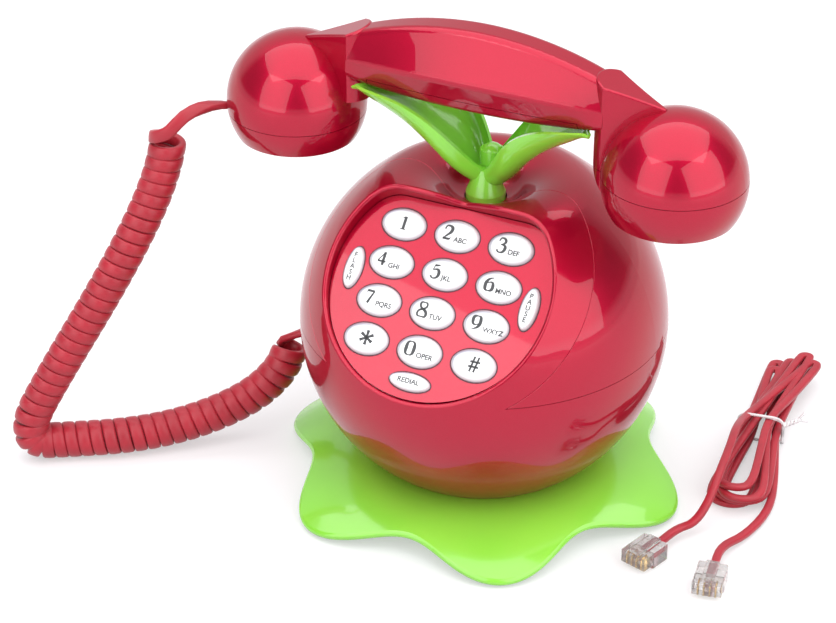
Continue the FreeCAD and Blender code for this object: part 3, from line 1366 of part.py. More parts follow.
def line_cord():
    wire = size("line_wire")
    place = hank_place()
    stations = [(place.multVec(spot), place.Rotation.multVec(heading)) for spot, heading in hank_stations()]
    edges = [Part.LineSegment(stations[0][0] - stations[0][1] * wire, stations[0][0]).toShape()]
    for k in range(len(stations) - 1):
        edges += biarc(*stations[k], *stations[k + 1])
    edges.append(Part.LineSegment(stations[-1][0], stations[-1][0] + stations[-1][1] * wire).toShape())
    print("line_cord_hank length %.0f" % sum(edge.Length for edge in edges),
          "least gap %.2f" % (least_gap(edges, 6 * wire) - wire))
    feature("line_cord_hank", tube_along(edges, wire / 2))
    start = stations[0][0] - stations[0][1] * wire
    end = stations[-1][0] + stations[-1][1] * wire
    ahead = stations[-1][1]
    cord_run("line_tail_left",
             [end + ahead * TAIL_GAP, end + ahead * TAIL_LEAD, *TAIL_TO_LEFT_PLUG, LEFT_PLUG[0]],
             wire)
    back = stations[0][1] * -1
    cord_run("line_tail_right", [start + back * TAIL_GAP, start + back * TAIL_LEAD, *TAIL_TO_RIGHT_PLUG,
                                 RIGHT_PLUG[0]], wire)
    line_plug("line_plug_left", plug_frame(*LEFT_PLUG))
    line_plug("line_plug_right", plug_frame(*RIGHT_PLUG))

    # Wire tie round the waist
    thin = size("tie_wire")
    step = size("hank_step")
    layers = math.ceil(HALF_LOOPS / HALVES_PER_LAYER)
    right = -(HANK_WAIST + 1.5 * step + wire / 2 + thin / 2 + TIE_GAP)
    left = HANK_WAIST + step + wire / 2 + thin / 2 + TIE_GAP
    low = thin / 2 + 2 * FLOOR_GAP
    high = wire + FLOOR_GAP + thin + TIE_ROOM + step * (layers - 1) + thin / 2 + TIE_TOP_GAP
    spots = [Vector(0, right, low), Vector(0, left, low), Vector(0, left, high), Vector(0, right, high)]
    loop = []
    for k, spot in enumerate(spots):
        back = Vector(spots[k - 1] - spot).normalize()
        ahead = Vector(spots[(k + 1) % 4] - spot).normalize()
        following = spots[(k + 1) % 4]
        loop.append(arc_from(spot + back * TIE_CORNER, back * -1, spot + ahead * TIE_CORNER))
        loop.append(Part.LineSegment(spot + ahead * TIE_CORNER, following - ahead * TIE_CORNER).toShape())
    ring = tube_along(loop, thin / 2)
    twist = Part.makeCylinder(thin * 0.9, TIE_TWIST, Vector(0, right + thin * 0.2, high - TIE_TWIST_DROP),
                              TIE_TWIST_WAY)
    tie = feature("twist_tie", ring.fuse(twist))
    tie.Placement = place


NODES = ["base_saucer", "rubber_feet", "ballast_weight", "base_screws", "front_shell", "rear_shell",
         "shell_screws",
         "keypad_plate", "key_mat", "keypad_board", "keypad_board_screws", "main_board", "main_board_screws",
         "ringer_speaker", "hook_tower", "hook_switch", "hook_spring", "line_jack", "jack_bracket",
         "body_gland",
         "cradle_leaves", "cradle_clip", "stem_knob", "handset_shell", "handset_belly", "receiver_cap",
         "mouthpiece_cap", "handset_screws", "receiver_gasket", "receiver_capsule", "microphone_holder",
         "microphone_capsule", "handset_weight", "handset_gland", "curly_cord",
         "line_cord_hank", "line_tail_left", "line_tail_right", "line_plug_left", "line_plug_right",
         "twist_tie"]


def main():
    base_parts()
    body_shells()
    keypad_parts()
    inner_parts()
    cradle_parts()
    hook_spring()
    handset_parts()
    curly_cord()
    line_cord()
    DOC.recompute()
    failed = [item.Label for item in DOC.Objects if {"Invalid", "Error"} & set(item.State)]
    if failed:
        raise RuntimeError("not made: " + ", ".join(failed))
    os.makedirs("parts", exist_ok=True)
    for name in NODES + [spot[0] for spot in key_spots()]:
        shape = DOC.getObjectsByLabel(name)[0].Shape
        if shape.isNull() or not shape.isValid() or not shape.Solids:
            raise RuntimeError("bad shape: " + name)
        shape.exportStep(os.path.join("parts", name + ".step"))


main()
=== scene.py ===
import json
import math

import bmesh
import bpy
from bpy.props import FloatProperty, FloatVectorProperty, IntProperty, PointerProperty
from bpy.types import Operator, Panel, PropertyGroup
from mathutils import Matrix, Vector


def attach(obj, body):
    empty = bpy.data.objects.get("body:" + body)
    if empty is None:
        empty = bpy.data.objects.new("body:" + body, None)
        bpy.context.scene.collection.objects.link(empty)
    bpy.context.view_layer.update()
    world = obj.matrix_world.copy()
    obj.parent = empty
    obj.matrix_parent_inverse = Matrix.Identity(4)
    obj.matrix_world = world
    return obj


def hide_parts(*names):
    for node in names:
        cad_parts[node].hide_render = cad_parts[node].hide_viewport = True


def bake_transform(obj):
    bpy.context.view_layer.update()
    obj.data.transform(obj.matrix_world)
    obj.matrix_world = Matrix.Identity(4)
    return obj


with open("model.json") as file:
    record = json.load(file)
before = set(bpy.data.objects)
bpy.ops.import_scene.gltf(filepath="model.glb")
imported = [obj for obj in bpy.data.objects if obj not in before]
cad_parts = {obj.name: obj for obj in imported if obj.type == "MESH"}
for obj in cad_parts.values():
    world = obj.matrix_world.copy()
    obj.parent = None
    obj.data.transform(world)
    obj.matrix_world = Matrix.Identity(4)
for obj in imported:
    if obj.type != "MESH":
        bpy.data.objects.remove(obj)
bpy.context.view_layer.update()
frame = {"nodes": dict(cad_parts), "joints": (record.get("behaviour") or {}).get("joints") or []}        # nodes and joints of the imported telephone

bl_info = {
    "name": "Fruit Telephone",
    "version": (1, 0, 0),
    "blender": (4, 5, 0),
    "location": "View3D > Sidebar > Telephone",
    "description": "Finishes a fruit-shaped corded telephone with its keys, cords and studio",
    "category": "Add Mesh",
}

UP = Vector((0, 0, 1))

# Camera of the photograph: place in metres, lens and sensor in millimetres
CAMERA_PLACE = Vector((0.31891, -0.70711, 0.51845))
CAMERA_TARGET = Vector((-0.0196, -0.009512, 0.061527))
CAMERA_LENS = 117.43
CAMERA_SENSOR = 36.0

# Curly cord: lead from the handset, middle line of the curls, lead into the body
LEAD_OUT = ((-0.0855, -0.0098, 0.1230), (-0.0905, -0.0122, 0.1236), (-0.0942, -0.0180, 0.1241),
            (-0.0972, -0.0240, 0.1232))
LEAD_OUT_FACE = Vector((-0.25, 0.45, 0.86))
CURL_ROUTE = ((-0.1043, -0.0228, 0.1135), (-0.1050, -0.0239, 0.1025), (-0.1136, -0.0388, 0.0737),
              (-0.1376, -0.0590, 0.0240), (-0.1413, -0.0620, 0.0135), (-0.1402, -0.0612, 0.0066),
              (-0.1310, -0.0551, 0.0062), (-0.1152, -0.0459, 0.0066), (-0.1021, -0.0349, 0.0072),
              (-0.0900, -0.0245, 0.0104), (-0.0795, -0.0153, 0.0160), (-0.0735, -0.0090, 0.0228),
              (-0.0713, -0.0055, 0.0285), (-0.0705, -0.0025, 0.0345))
LEAD_IN = ((-0.0655, -0.0002, 0.0378), (-0.0620, 0.0, 0.0384), (-0.0585, 0.0, 0.0396))
HANDSET_EXIT = Vector((-0.0875, -0.0103, 0.1232))
BODY_EXIT = Vector((-0.0605, 0.0, 0.0387))
LEAD_OUT_WAY = Vector((-0.966, -0.259, 0.0)).normalized()
LEAD_IN_WAY = Vector((-0.940, 0.0, -0.342)).normalized()
CURL_START = Vector((-0.8, -0.5, 0.0))
CURL_FINISH = Vector((-0.3, 0.5, 0.8)).normalized()
CURL_STEPS = 16
CURL_DETAIL = 60
SHARP_BEND = 0.25                    # curl radius over bend radius from which the turns draw together
TOP_LIFT = 0.0040
TOP_FLARE = 0.0007
TOP_FALL = 0.8 * math.pi             # turn in which the lead settles into the first curl
SPLIT_HEIGHT = 0.062
UPPER_STRETCH = ((-0.1185, -0.0420, 0.066), (-0.1050, -0.0235, 0.112))
LOWER_STRETCH = ((-0.1341, -0.0573, 0.0257), (-0.1402, -0.0622, 0.0348))
CORD_DETAIL = 2
CORNER_POWER = 0.55                  # the lower, the squarer the cords' section

# Sleeves where the curly cord leaves the handset and the body
SLEEVE_SINK = 0.0009
SLEEVE_WIDE = 0.0026
SLEEVE_NARROW = 0.0023
SLEEVE_LENGTH = 0.0030
SLEEVE_ROUNDING = 0.0005
RIM_ANGLE = 0.8

# Line cord: the hank on the floor, its tails to the plugs and the form of its loops
HANK_CENTRE = Vector((0.079, 0.056, 0.0))
HANK_TURN = math.radians(99.4)
HALF_LOOPS = 11
HALVES_PER_LAYER = 3
TAIL_TO_LEFT_PLUG = ((0.0768, 0.0388, 0.0152), (0.0792, 0.0260, 0.0152), (0.0809, 0.0126, 0.0144),
                     (0.0816, 0.0010, 0.0094), (0.0796, -0.0066, 0.0048), (0.0747, -0.0096, 0.0033))
TAIL_TO_RIGHT_PLUG = ((0.0936, 0.0330, 0.0015), (0.0978, 0.0160, 0.0015), (0.0956, -0.0015, 0.0016),
                      (0.0910, -0.0130, 0.0033))
LEFT_PLUG = (0.0722, -0.0216, 0.0033)
RIGHT_PLUG = (0.0936, -0.0260, 0.0033)
HANK_PLACE = Matrix.Translation(HANK_CENTRE) @ Matrix.Rotation(HANK_TURN, 4, "Z")
LEFT_PLUG_TURN = math.radians(-106.0)
RIGHT_PLUG_TURN = math.radians(-80.0)
CORD_IN_PLUG = 0.0065
FAN = {1: (2.0, -4.5, -10.5, -16.0), -1: (-3.0, 1.0, 3.0, -2.0)}
HANK_LOW = 0.00135
LAYER_STEP = 0.0022
WAIST_LIFT = 0.00125
WAIST_HALF = 0.00155
LOOP_REACH = {1: 0.045, -1: 0.041}
FAR_LOOP_HALF = 0.0019
NEAR_LOOP_HALF = 0.0052
INNER_LOOPS = (2, 8)
INNER_RISE = 0.0023
LEG_RISE = 0.8                       # share of the inner loops' rise at the middle of their legs
LINE_DETAIL = 4
REACH_SHIFT = (0.002, -0.001, -0.003, 0.001, 0.0025, -0.002, -0.0015, 0.0015, 0.003, 0.0, -0.002)

# Tie round the hank's waist
TIE_HALF = 0.00055
TIE_LOW = 0.0007
TIE_ROOM = 0.0025
TIE_RISE = 0.0014
TIE_LEFT_SHARE = 0.76
TIE_WAY = Vector((0.45, -0.85, 0.3)).normalized()
TIE_STEP = 0.00034
TIE_STEPS = 26
TIE_TWISTS = 18
TIE_SPLAY = 0.35
TIE_END_SHARE = 0.75                 # height of the twisted ends over the loop's
TIE_FACE = UP + Vector((0.3, 0.2, 0.0))

# Plug body and contacts
PLUG_LENGTH = 0.0124
PLUG_HALF = 0.00482
PLUG_TALL = 0.0031
PLUG_ROUNDING = 0.0004
LATCH_ROUNDING = 0.0002
CONTACTS = 4
CONTACT_PITCH = 0.0019
CONTACT_HALF = 0.00025

# Legends: number or sign, and the small letters beside it
LEGENDS = {
    "key_1": ("1", ""), "key_2": ("2", "ABC"), "key_3": ("3", "DEF"),
    "key_4": ("4", "GHI"), "key_5": ("5", "JKL"), "key_6": ("6", "MNO"),
    "key_7": ("7", "PQRS"), "key_8": ("8", "TUV"), "key_9": ("9", "WXYZ"),
    "key_star": ("*", ""), "key_0": ("0", "OPER"), "key_hash": ("#", ""),
    "key_flash": ("", "FLASH"), "key_pause": ("", "PAUSE"), "key_redial": ("", "REDIAL"),
}

# Serif numerals: strokes of across, up and half width, in shares of the number's height
SIX = (((0.58, 1.00, 0.02), (0.30, 0.94, 0.05), (0.04, 0.62, 0.10), (0.06, 0.20, 0.10),
        (0.14, 0.00, 0.07), (0.32, 0.00, 0.03)),
       ((0.32, 0.00, 0.03), (0.60, 0.00, 0.08), (0.66, 0.32, 0.105), (0.58, 0.64, 0.07),
        (0.34, 0.66, 0.03), (0.10, 0.52, 0.03)))
NUMERALS = {
    "0": (((0.32, 1.00, 0.03), (0.06, 1.02, 0.06), (0.00, 0.50, 0.12), (0.06, -0.02, 0.06),
           (0.32, 0.00, 0.03)),
          ((0.32, 0.00, 0.03), (0.58, -0.02, 0.06), (0.64, 0.50, 0.12), (0.58, 1.02, 0.06),
           (0.32, 1.00, 0.03))),
    "1": (((0.34, 0.02, 0.085), (0.34, 0.98, 0.085)),
          ((0.33, 0.96, 0.05), (0.24, 0.90, 0.03), (0.12, 0.86, 0.02)),
          ((0.12, 0.02, 0.025), (0.56, 0.02, 0.025))),
    "2": (((0.06, 0.74, 0.045), (0.08, 1.02, 0.045), (0.36, 1.06, 0.06), (0.62, 0.94, 0.10),
           (0.58, 0.60, 0.095), (0.40, 0.42, 0.06), (0.06, 0.04, 0.03)),
          ((0.04, 0.065, 0.065), (0.56, 0.065, 0.065)),
          ((0.54, 0.05, 0.05), (0.59, 0.12, 0.03), (0.62, 0.24, 0.015))),
    "3": (((0.08, 0.78, 0.05), (0.12, 1.03, 0.04), (0.40, 1.05, 0.06), (0.58, 0.88, 0.09),
           (0.52, 0.62, 0.06), (0.24, 0.54, 0.025)),
          ((0.24, 0.54, 0.025), (0.56, 0.56, 0.06), (0.66, 0.32, 0.105), (0.54, 0.00, 0.07),
           (0.28, -0.06, 0.04), (0.08, 0.02, 0.05), (0.06, 0.14, 0.06))),
    "4": (((0.44, 0.00, 0.08), (0.44, 1.00, 0.08)),
          ((0.44, 0.97, 0.03), (0.03, 0.32, 0.03)),
          ((0.02, 0.29, 0.055), (0.64, 0.29, 0.055))),
    "5": (((0.18, 0.92, 0.065), (0.42, 0.92, 0.065), (0.58, 1.00, 0.03)),
          ((0.20, 0.92, 0.03), (0.13, 0.56, 0.03)),
          ((0.12, 0.56, 0.03), (0.44, 0.72, 0.06), (0.66, 0.46, 0.105), (0.60, 0.08, 0.075),
           (0.34, -0.07, 0.04), (0.10, 0.00, 0.05), (0.06, 0.13, 0.06))),
    "6": SIX,
    "7": (((0.06, 0.93, 0.065), (0.60, 0.93, 0.065)),
          ((0.07, 0.96, 0.03), (0.04, 0.76, 0.015)),
          ((0.59, 0.92, 0.04), (0.44, 0.62, 0.06), (0.26, 0.00, 0.075))),
    "8": (((0.32, 0.54, 0.06), (0.04, 0.68, 0.07), (0.08, 1.04, 0.06), (0.32, 1.03, 0.03),
           (0.58, 1.03, 0.06), (0.60, 0.66, 0.06), (0.32, 0.54, 0.06)),
          ((0.32, 0.54, 0.07), (0.66, 0.40, 0.10), (0.66, -0.04, 0.07), (0.32, -0.03, 0.03),
           (-0.02, -0.03, 0.06), (-0.02, 0.42, 0.06), (0.32, 0.54, 0.07))),
    "9": tuple(tuple((0.64 - x, 1.0 - y, half) for x, y, half in stroke) for stroke in SIX),
    "*": (((0.32, 0.98, 0.085), (0.32, 0.50, 0.03), (0.32, 0.02, 0.085)),
          ((-0.10, 0.74, 0.085), (0.32, 0.50, 0.03), (0.74, 0.26, 0.085)),
          ((-0.10, 0.26, 0.085), (0.32, 0.50, 0.03), (0.74, 0.74, 0.085))),
    "#": (((0.14, 0.00, 0.05), (0.26, 1.00, 0.05)), ((0.42, 0.00, 0.05), (0.54, 1.00, 0.05)),
          ((-0.02, 0.34, 0.05), (0.66, 0.34, 0.05)), ((0.02, 0.66, 0.05), (0.70, 0.66, 0.05))),
}
NUMERAL_MIDDLE = Vector((0.32, 0.5, 0.0))
PEN = 1.3
SIGN_SHARE = 1.15                    # height of a star or hash sign over a number's
NUMBER_SPOT = (-0.0028, 0.0002)
LONE_SPOT = (0.0006, 0.0001)
LETTERS_SPOT = (-0.0002, -0.0015)
PRINT_LIFT = 0.00004
WORD_DEPTH = 0.00002
WORD_BOLDNESS = 0.022                # share of the letters' height
NUMERAL_DEPTH = 0.01                 # share of the number's height

# Keys: rows of inset, height from the top, painted shade all round and painted shade on the upper left
KEY_RISE = 0.0018
KEY_PROFILE = (
    (0.0, -0.0052, 1.0, 0.0), (0.0, -KEY_RISE, 0.7, 0.0), (0.0002, -0.0012, 0.25, 0.1),
    (0.0005, -0.0006, 0.12, 0.6), (0.0008, -0.00026, 0.12, 0.85), (0.0011, -0.0001, 0.3, 0.7),
    (0.0015, -0.00003, 0.08, 0.6), (0.002, 0.0, 0.0, 0.4), (0.0027, 0.0, 0.0, 0.0),
)
CAP_DEPTH = 0.0016                   # under its top, where a key has its full outline
FULL_HALF = 0.0045                   # half breadth from which a key has the full insets
# Painted shadow round each key: width of the dark ring, its lift over the plate and its lap under the key
GAP_WIDTH = 0.00035
GAP_LIFT = 0.00003
GAP_LAP = 0.0001
KEY_SIDES = 72

SHELL_NODES = ("front_shell", "rear_shell", "handset_shell", "handset_belly", "receiver_cap",
               "mouthpiece_cap", "keypad_plate")
LEAF_NODES = ("base_saucer", "cradle_leaves", "stem_knob")

# Studio: softboxes by turn from the camera, rise from the floor, distance, width and height
FLOOR_HALF = 6.0
FLOOR_DROP = 0.0002
NEAR_FLOOR = 0.7
FAR_FLOOR = 2.2
HORIZON = (0.06, 0.14)
SWEEP = (0.30, 0.55)
LAMP_TARGET = Vector((0.0, 0.0, 0.10))
SOFTBOXES = {
    "overhead_box": (0.0, 90.0, 1.30, 2.4, 1.75),
    "left_box": (-40.5, 26.0, 1.5, 1.30, 1.42),
    "right_box": (47.5, 26.0, 1.5, 1.75, 1.42),
}


def colour(name, about, value):
    """A colour kept among the scene's settings."""
    return FloatVectorProperty(name=name, description=about, subtype="COLOR", default=value, min=0.0, max=1.0)


def distance(name, about, value):
    """A length kept among the scene's settings."""
    return FloatProperty(name=name, description=about, subtype="DISTANCE", default=value)


def amount(name, about, value):
    """A plain number, not below zero, kept among the scene's settings."""
    return FloatProperty(name=name, description=about, default=value, min=0.0)


class ShellProps(PropertyGroup):
    red: colour("Shell red", "Pearl red of the shells", (0.44, 0.005, 0.032))
    deep_red: colour("Deep red", "Darker red between the pearl flakes", (0.39, 0.004, 0.026))
    lime: colour("Leaf green", "Green of the saucer and leaves", (0.26, 0.70, 0.055))


class KeyProps(PropertyGroup):
    white: colour("Key white", "White of the key tops", (0.84, 0.84, 0.86))
    # Painted shade: lilac grey standing in for the dark reflections in the keys' clear edges and the shade
    # along their feet
    painted_rim_shade: colour("Key rim", "Grey of the clear rim", (0.20, 0.18, 0.27))
    ink: colour("Ink", "Grey of the legends", (0.055, 0.057, 0.062))
    number_height: distance("Number height", "Height of the numbers", 0.0044)
    letter_height: distance("Letter height", "Height of the small letters", 0.0023)


class CordProps(PropertyGroup):
    red: colour("Cord red", "Red of both cords", (0.42, 0.012, 0.028))
    curl_radius: distance("Curl radius", "Middle of the flat cord in its curls", 0.0050)
    curl_width: distance("Curl width", "Width of the flat cord", 0.00438)
    curl_thickness: distance("Curl thickness", "Thickness of the flat cord", 0.0026)
    pitch: distance("Pitch", "Rise of each turn where the curls run straight", 0.0044)
    corner_squeeze: amount("Corner squeeze", "How much a sharp bend draws the turns together", 0.6)
    line_width: distance("Line cord width", "Width of the line cord", 0.0028)
    line_thickness: distance("Line cord thickness", "Thickness of the line cord", 0.0021)
    hank_step: distance("Hank step", "Distance between runs of the hank", 0.00315)
    sides: IntProperty(name="Cord sides", description="Sides of a cord's section", default=12, min=6)


class StageProps(PropertyGroup):
    floor: colour("Floor", "Colour of the paper floor", (0.50, 0.50, 0.51))
    glow: amount("Floor glow", "White that the floor shows to the camera", 0.46)
    lamp: amount("Lamp level", "Brightness of the softboxes", 2.3)
    fill: amount("Fill level", "Brightness of the room above the horizon", 0.14)
    backdrop: amount("Backdrop level", "Brightness of the sweep behind the telephone", 0.8)


# Materials
def new_material(name):
    """A material, its nodes, its links and its shader."""
    material = bpy.data.materials.new(name)
    material.use_nodes = True
    tree = material.node_tree
    return material, tree.nodes, tree.links, tree.nodes["Principled BSDF"]


def noise(nodes, links, scale, detail=2.0):
    """Noise over the object's own coordinates."""
    place = nodes.new("ShaderNodeTexCoord").outputs["Object"]
    texture = nodes.new("ShaderNodeTexNoise")
    texture.inputs["Scale"].default_value = scale
    texture.inputs["Detail"].default_value = detail
    links.new(place, texture.inputs["Vector"])
    return texture.outputs["Fac"]


def ramp(nodes, links, source, low, high, start=0.35, end=0.65):
    """Colour that runs from low to high as the source rises."""
    node = nodes.new("ShaderNodeValToRGB")
    stops = node.color_ramp.elements
    stops[0].position = start
    stops[0].color = (*low, 1.0)
    stops[1].position = end
    stops[1].color = (*high, 1.0)
    links.new(source, node.inputs["Fac"])
    return node.outputs["Color"]


def spread(nodes, links, source, low, high, start=0.0, end=1.0):
    """Number that runs from low to high as the source rises from start to end."""
    node = nodes.new("ShaderNodeMapRange")
    node.inputs["From Min"].default_value = start
    node.inputs["From Max"].default_value = end
    node.inputs["To Min"].default_value = low
    node.inputs["To Max"].default_value = high
    links.new(source, node.inputs["Value"])
    return node.outputs["Result"]


def combine(nodes, links, operation, first, second):
    """Number worked out from two others."""
    node = nodes.new("ShaderNodeMath")
    node.operation = operation
    links.new(first, node.inputs[0])
    links.new(second, node.inputs[1])
    return node.outputs["Value"]


def darker(tint, share):
    """The same colour with each channel lowered to a share."""
    return tuple(channel * share for channel in tint)


def bump(nodes, links, shader, source, strength, depth):
    """Raises and lowers the surface with the source."""
    node = nodes.new("ShaderNodeBump")
    node.inputs["Strength"].default_value = strength
    node.inputs["Distance"].default_value = depth
    links.new(source, node.inputs["Height"])
    links.new(node.outputs["Normal"], shader.inputs["Normal"])


def pearl_red(props):
    """Glossy moulded plastic with fine pearl flakes under a clear lacquer."""
    material, nodes, links, shader = new_material("pearl_red")
    flakes = noise(nodes, links, 5200.0)
    links.new(ramp(nodes, links, flakes, props.deep_red, props.red), shader.inputs["Base Color"])
    cloud = noise(nodes, links, 45.0, 3.0)
    links.new(spread(nodes, links, cloud, 0.27, 0.33), shader.inputs["Roughness"])
    shader.inputs["Metallic"].default_value = 0.5
    shader.inputs["Specular IOR Level"].default_value = 0.1
    shader.inputs["Specular Tint"].default_value = (0.45, 0.04, 0.09, 1.0)
    shader.inputs["Coat Weight"].default_value = 0.85
    shader.inputs["Coat Roughness"].default_value = 0.02
    shader.inputs["Coat IOR"].default_value = 1.45
    bump(nodes, links, shader, flakes, 0.02, 0.0001)
    return material


def glossy_lime(props):
    """Solid lime plastic with a high gloss and slightly uneven colour."""
    material, nodes, links, shader = new_material("glossy_lime")
    cloud = noise(nodes, links, 30.0, 3.0)
    links.new(ramp(nodes, links, cloud, darker(props.lime, 0.94), props.lime), shader.inputs["Base Color"])
    grain = noise(nodes, links, 900.0)
    links.new(spread(nodes, links, grain, 0.16, 0.24), shader.inputs["Roughness"])
    shader.inputs["Coat Weight"].default_value = 0.6
    shader.inputs["Coat Roughness"].default_value = 0.04
    shader.inputs["Subsurface Weight"].default_value = 0.08
    shader.inputs["Subsurface Radius"].default_value = (0.002, 0.004, 0.001)
    bump(nodes, links, shader, grain, 0.015, 0.0002)
    return material


def key_cap(props):
    """White key whose clear rounded border carries painted shade, greyer towards the key's outline."""
    material, nodes, links, shader = new_material("key_cap")
    painted_rim_shade = nodes.new("ShaderNodeAttribute")
    painted_rim_shade.attribute_name = "painted_rim_shade"
    shade = ramp(nodes, links, painted_rim_shade.outputs["Fac"], props.white, props.painted_rim_shade, 0.05, 0.95)
    links.new(shade, shader.inputs["Base Color"])
    grain = noise(nodes, links, 700.0)
    links.new(spread(nodes, links, grain, 0.10, 0.16), shader.inputs["Roughness"])
    shader.inputs["Coat Weight"].default_value = 1.0
    shader.inputs["Coat Roughness"].default_value = 0.02
    return material


def printed_ink(props):
    """Matt grey print."""
    material, nodes, links, shader = new_material("printed_ink")
    grain = noise(nodes, links, 3000.0)
    links.new(ramp(nodes, links, grain, darker(props.ink, 0.8), props.ink), shader.inputs["Base Color"])
    shader.inputs["Roughness"].default_value = 0.5
    return material


def satin_cord(props):
    """Soft satin jacket with a slightly cloudy colour."""
    material, nodes, links, shader = new_material("satin_cord")
    cloud = noise(nodes, links, 120.0, 3.0)
    links.new(ramp(nodes, links, cloud, darker(props.red, 0.85), props.red), shader.inputs["Base Color"])
    grain = noise(nodes, links, 1500.0)
    links.new(spread(nodes, links, grain, 0.36, 0.48), shader.inputs["Roughness"])
    shader.inputs["Sheen Weight"].default_value = 0.08
    bump(nodes, links, shader, grain, 0.05, 0.0002)
    return material


def plain_finish(name, tint, roughness, metallic=0.0, scale=400.0, depth=0.05):
    """Moulded, cast or drawn surface with a fine grain in colour, gloss and height."""
    material, nodes, links, shader = new_material(name)
    grain = noise(nodes, links, scale, 3.0)
    links.new(ramp(nodes, links, grain, darker(tint, 0.8), tint), shader.inputs["Base Color"])
    links.new(spread(nodes, links, grain, roughness * 0.85, roughness * 1.15), shader.inputs["Roughness"])
    shader.inputs["Metallic"].default_value = metallic
    bump(nodes, links, shader, grain, depth, 0.0002)
    return material


def clear_plastic():
    """Clear moulded plug body."""
    material, nodes, links, shader = new_material("clear_plastic")
    cloud = noise(nodes, links, 500.0)
    links.new(ramp(nodes, links, cloud, (0.90, 0.88, 0.87), (0.97, 0.96, 0.95)), shader.inputs["Base Color"])
    links.new(spread(nodes, links, cloud, 0.03, 0.08), shader.inputs["Roughness"])
    shader.inputs["Transmission Weight"].default_value = 0.9
    shader.inputs["IOR"].default_value = 1.45
    return material


def dress(node, material):
    """Gives a carried-over node its finish."""
    item = frame["nodes"][node]
    if not item.material_slots:
        item.data.materials.append(material)
    for slot in item.material_slots:
        slot.material = material


# Meshes
def new_piece(name, mesh, body, finish, smooth=True):
    """Links a finished mesh as a piece, which rides on its body if it has just one."""
    mesh.materials.append(finish)
    for face in mesh.polygons:
        face.use_smooth = smooth
    piece = bpy.data.objects.new(name, mesh)
    bpy.context.scene.collection.objects.link(piece)
    if body:
        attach(piece, body)
    return piece


def mesh_from(name, shape):
    """Closes a bmesh into a mesh."""
    bmesh.ops.recalc_face_normals(shape, faces=shape.faces)
    mesh = bpy.data.meshes.new(name)
    shape.to_mesh(mesh)
    shape.free()
    return mesh


def smooth_line(points, steps):
    """Points along the NURBS line that has these control points."""
    curve = bpy.data.curves.new("route", "CURVE")
    curve.dimensions = "3D"
    spline = curve.splines.new("NURBS")
    spline.points.add(len(points) - 1)
    for spot, point in zip(spline.points, points):
        spot.co = (*point, 1.0)
    spline.order_u = 3
    spline.use_endpoint_u = True
    spline.resolution_u = steps
    holder = bpy.data.objects.new("route", curve)
    mesh = bpy.data.meshes.new_from_object(holder)
    line = [vertex.co.copy() for vertex in mesh.vertices]
    bpy.data.meshes.remove(mesh)
    bpy.data.objects.remove(holder)
    bpy.data.curves.remove(curve)
    return line


def squared(value):
    """Share of the half width or thickness that gives a section its rounded corners."""
    return math.copysign(abs(value) ** CORNER_POWER, value)


def flat_cord(name, middle, outer, width, thickness, sides):
    """Tube of rounded flat section along the middle line, its flat side towards the outer line."""
    shape = bmesh.new()
    section = []
    for j in range(sides):
        turn = 2 * math.pi * j / sides
        section.append((squared(math.cos(turn)) * width / 2, squared(math.sin(turn)) * thickness / 2))
    last = len(middle) - 1
    rings = []
    for k, centre in enumerate(middle):
        ahead = (middle[min(k + 1, last)] - middle[max(k - 1, 0)]).normalized()
        out = outer[k] - centre
        out = (out - ahead * out.dot(ahead)).normalized()
        across = ahead.cross(out)
        rings.append([shape.verts.new(centre + across * along + out * rise) for along, rise in section])
    for first, second in zip(rings, rings[1:]):
        for j in range(sides):
            shape.faces.new((first[j], first[(j + 1) % sides], second[(j + 1) % sides], second[j]))
    shape.faces.new(rings[0])
    shape.faces.new(rings[-1])
    return mesh_from(name, shape)


def carried_frames(line, start):
    """Heading and two directions across the line at each point, carried along without twist."""
    last = len(line) - 1
    across = start
    frames = []
    for k in range(last + 1):
        ahead = (line[min(k + 1, last)] - line[max(k - 1, 0)]).normalized()
        across = (across - ahead * across.dot(ahead)).normalized()
        frames.append((ahead, across.cross(ahead), across))
    return frames


def curl_rails(props):
    """Control points of the curly cord, and of a line that lies outside it and shows which way it faces."""
    axis = smooth_line([Vector(point) for point in CURL_ROUTE], CURL_DETAIL)
    frames = carried_frames(axis, CURL_START)
    middle = [Vector(point) for point in LEAD_OUT]
    outer = [point + LEAD_OUT_FACE.lerp(frames[0][1], k / len(middle)) for k, point in enumerate(middle)]
    angle = 0.0
    due = 0.0
    step = 2 * math.pi / CURL_STEPS
    for k in range(1, len(axis)):
        run = (axis[k] - axis[k - 1]).length
        tight = frames[k - 1][0].angle(frames[k][0]) * props.curl_radius / run
        pitch = props.pitch / (1.0 + props.corner_squeeze * max(tight - SHARP_BEND, 0.0))
        before = angle
        angle += 2 * math.pi * run / pitch
        while due <= angle:
            ahead, side, turn = frames[k]
            spot = axis[k - 1].lerp(axis[k], (due - before) / (angle - before))
            out = side * math.cos(due) + turn * math.sin(due)
            fall = max(1.0 - due / TOP_FALL, 0.0)
            lift = TOP_LIFT * fall ** 2
            flare = TOP_FLARE * fall
            middle.append(spot - ahead * lift + out * (props.curl_radius + flare))
            outer.append(middle[-1] + out)
            due += step
    last_turn = range(len(middle) - CURL_STEPS, len(middle))
    last = max(last_turn, key=lambda k: (outer[k] - middle[k]).dot(CURL_FINISH))
    middle, outer = middle[:last + 1], outer[:last + 1]
    for point in LEAD_IN:
        middle.append(Vector(point))
        outer.append(middle[-1] + UP)
    return middle, outer


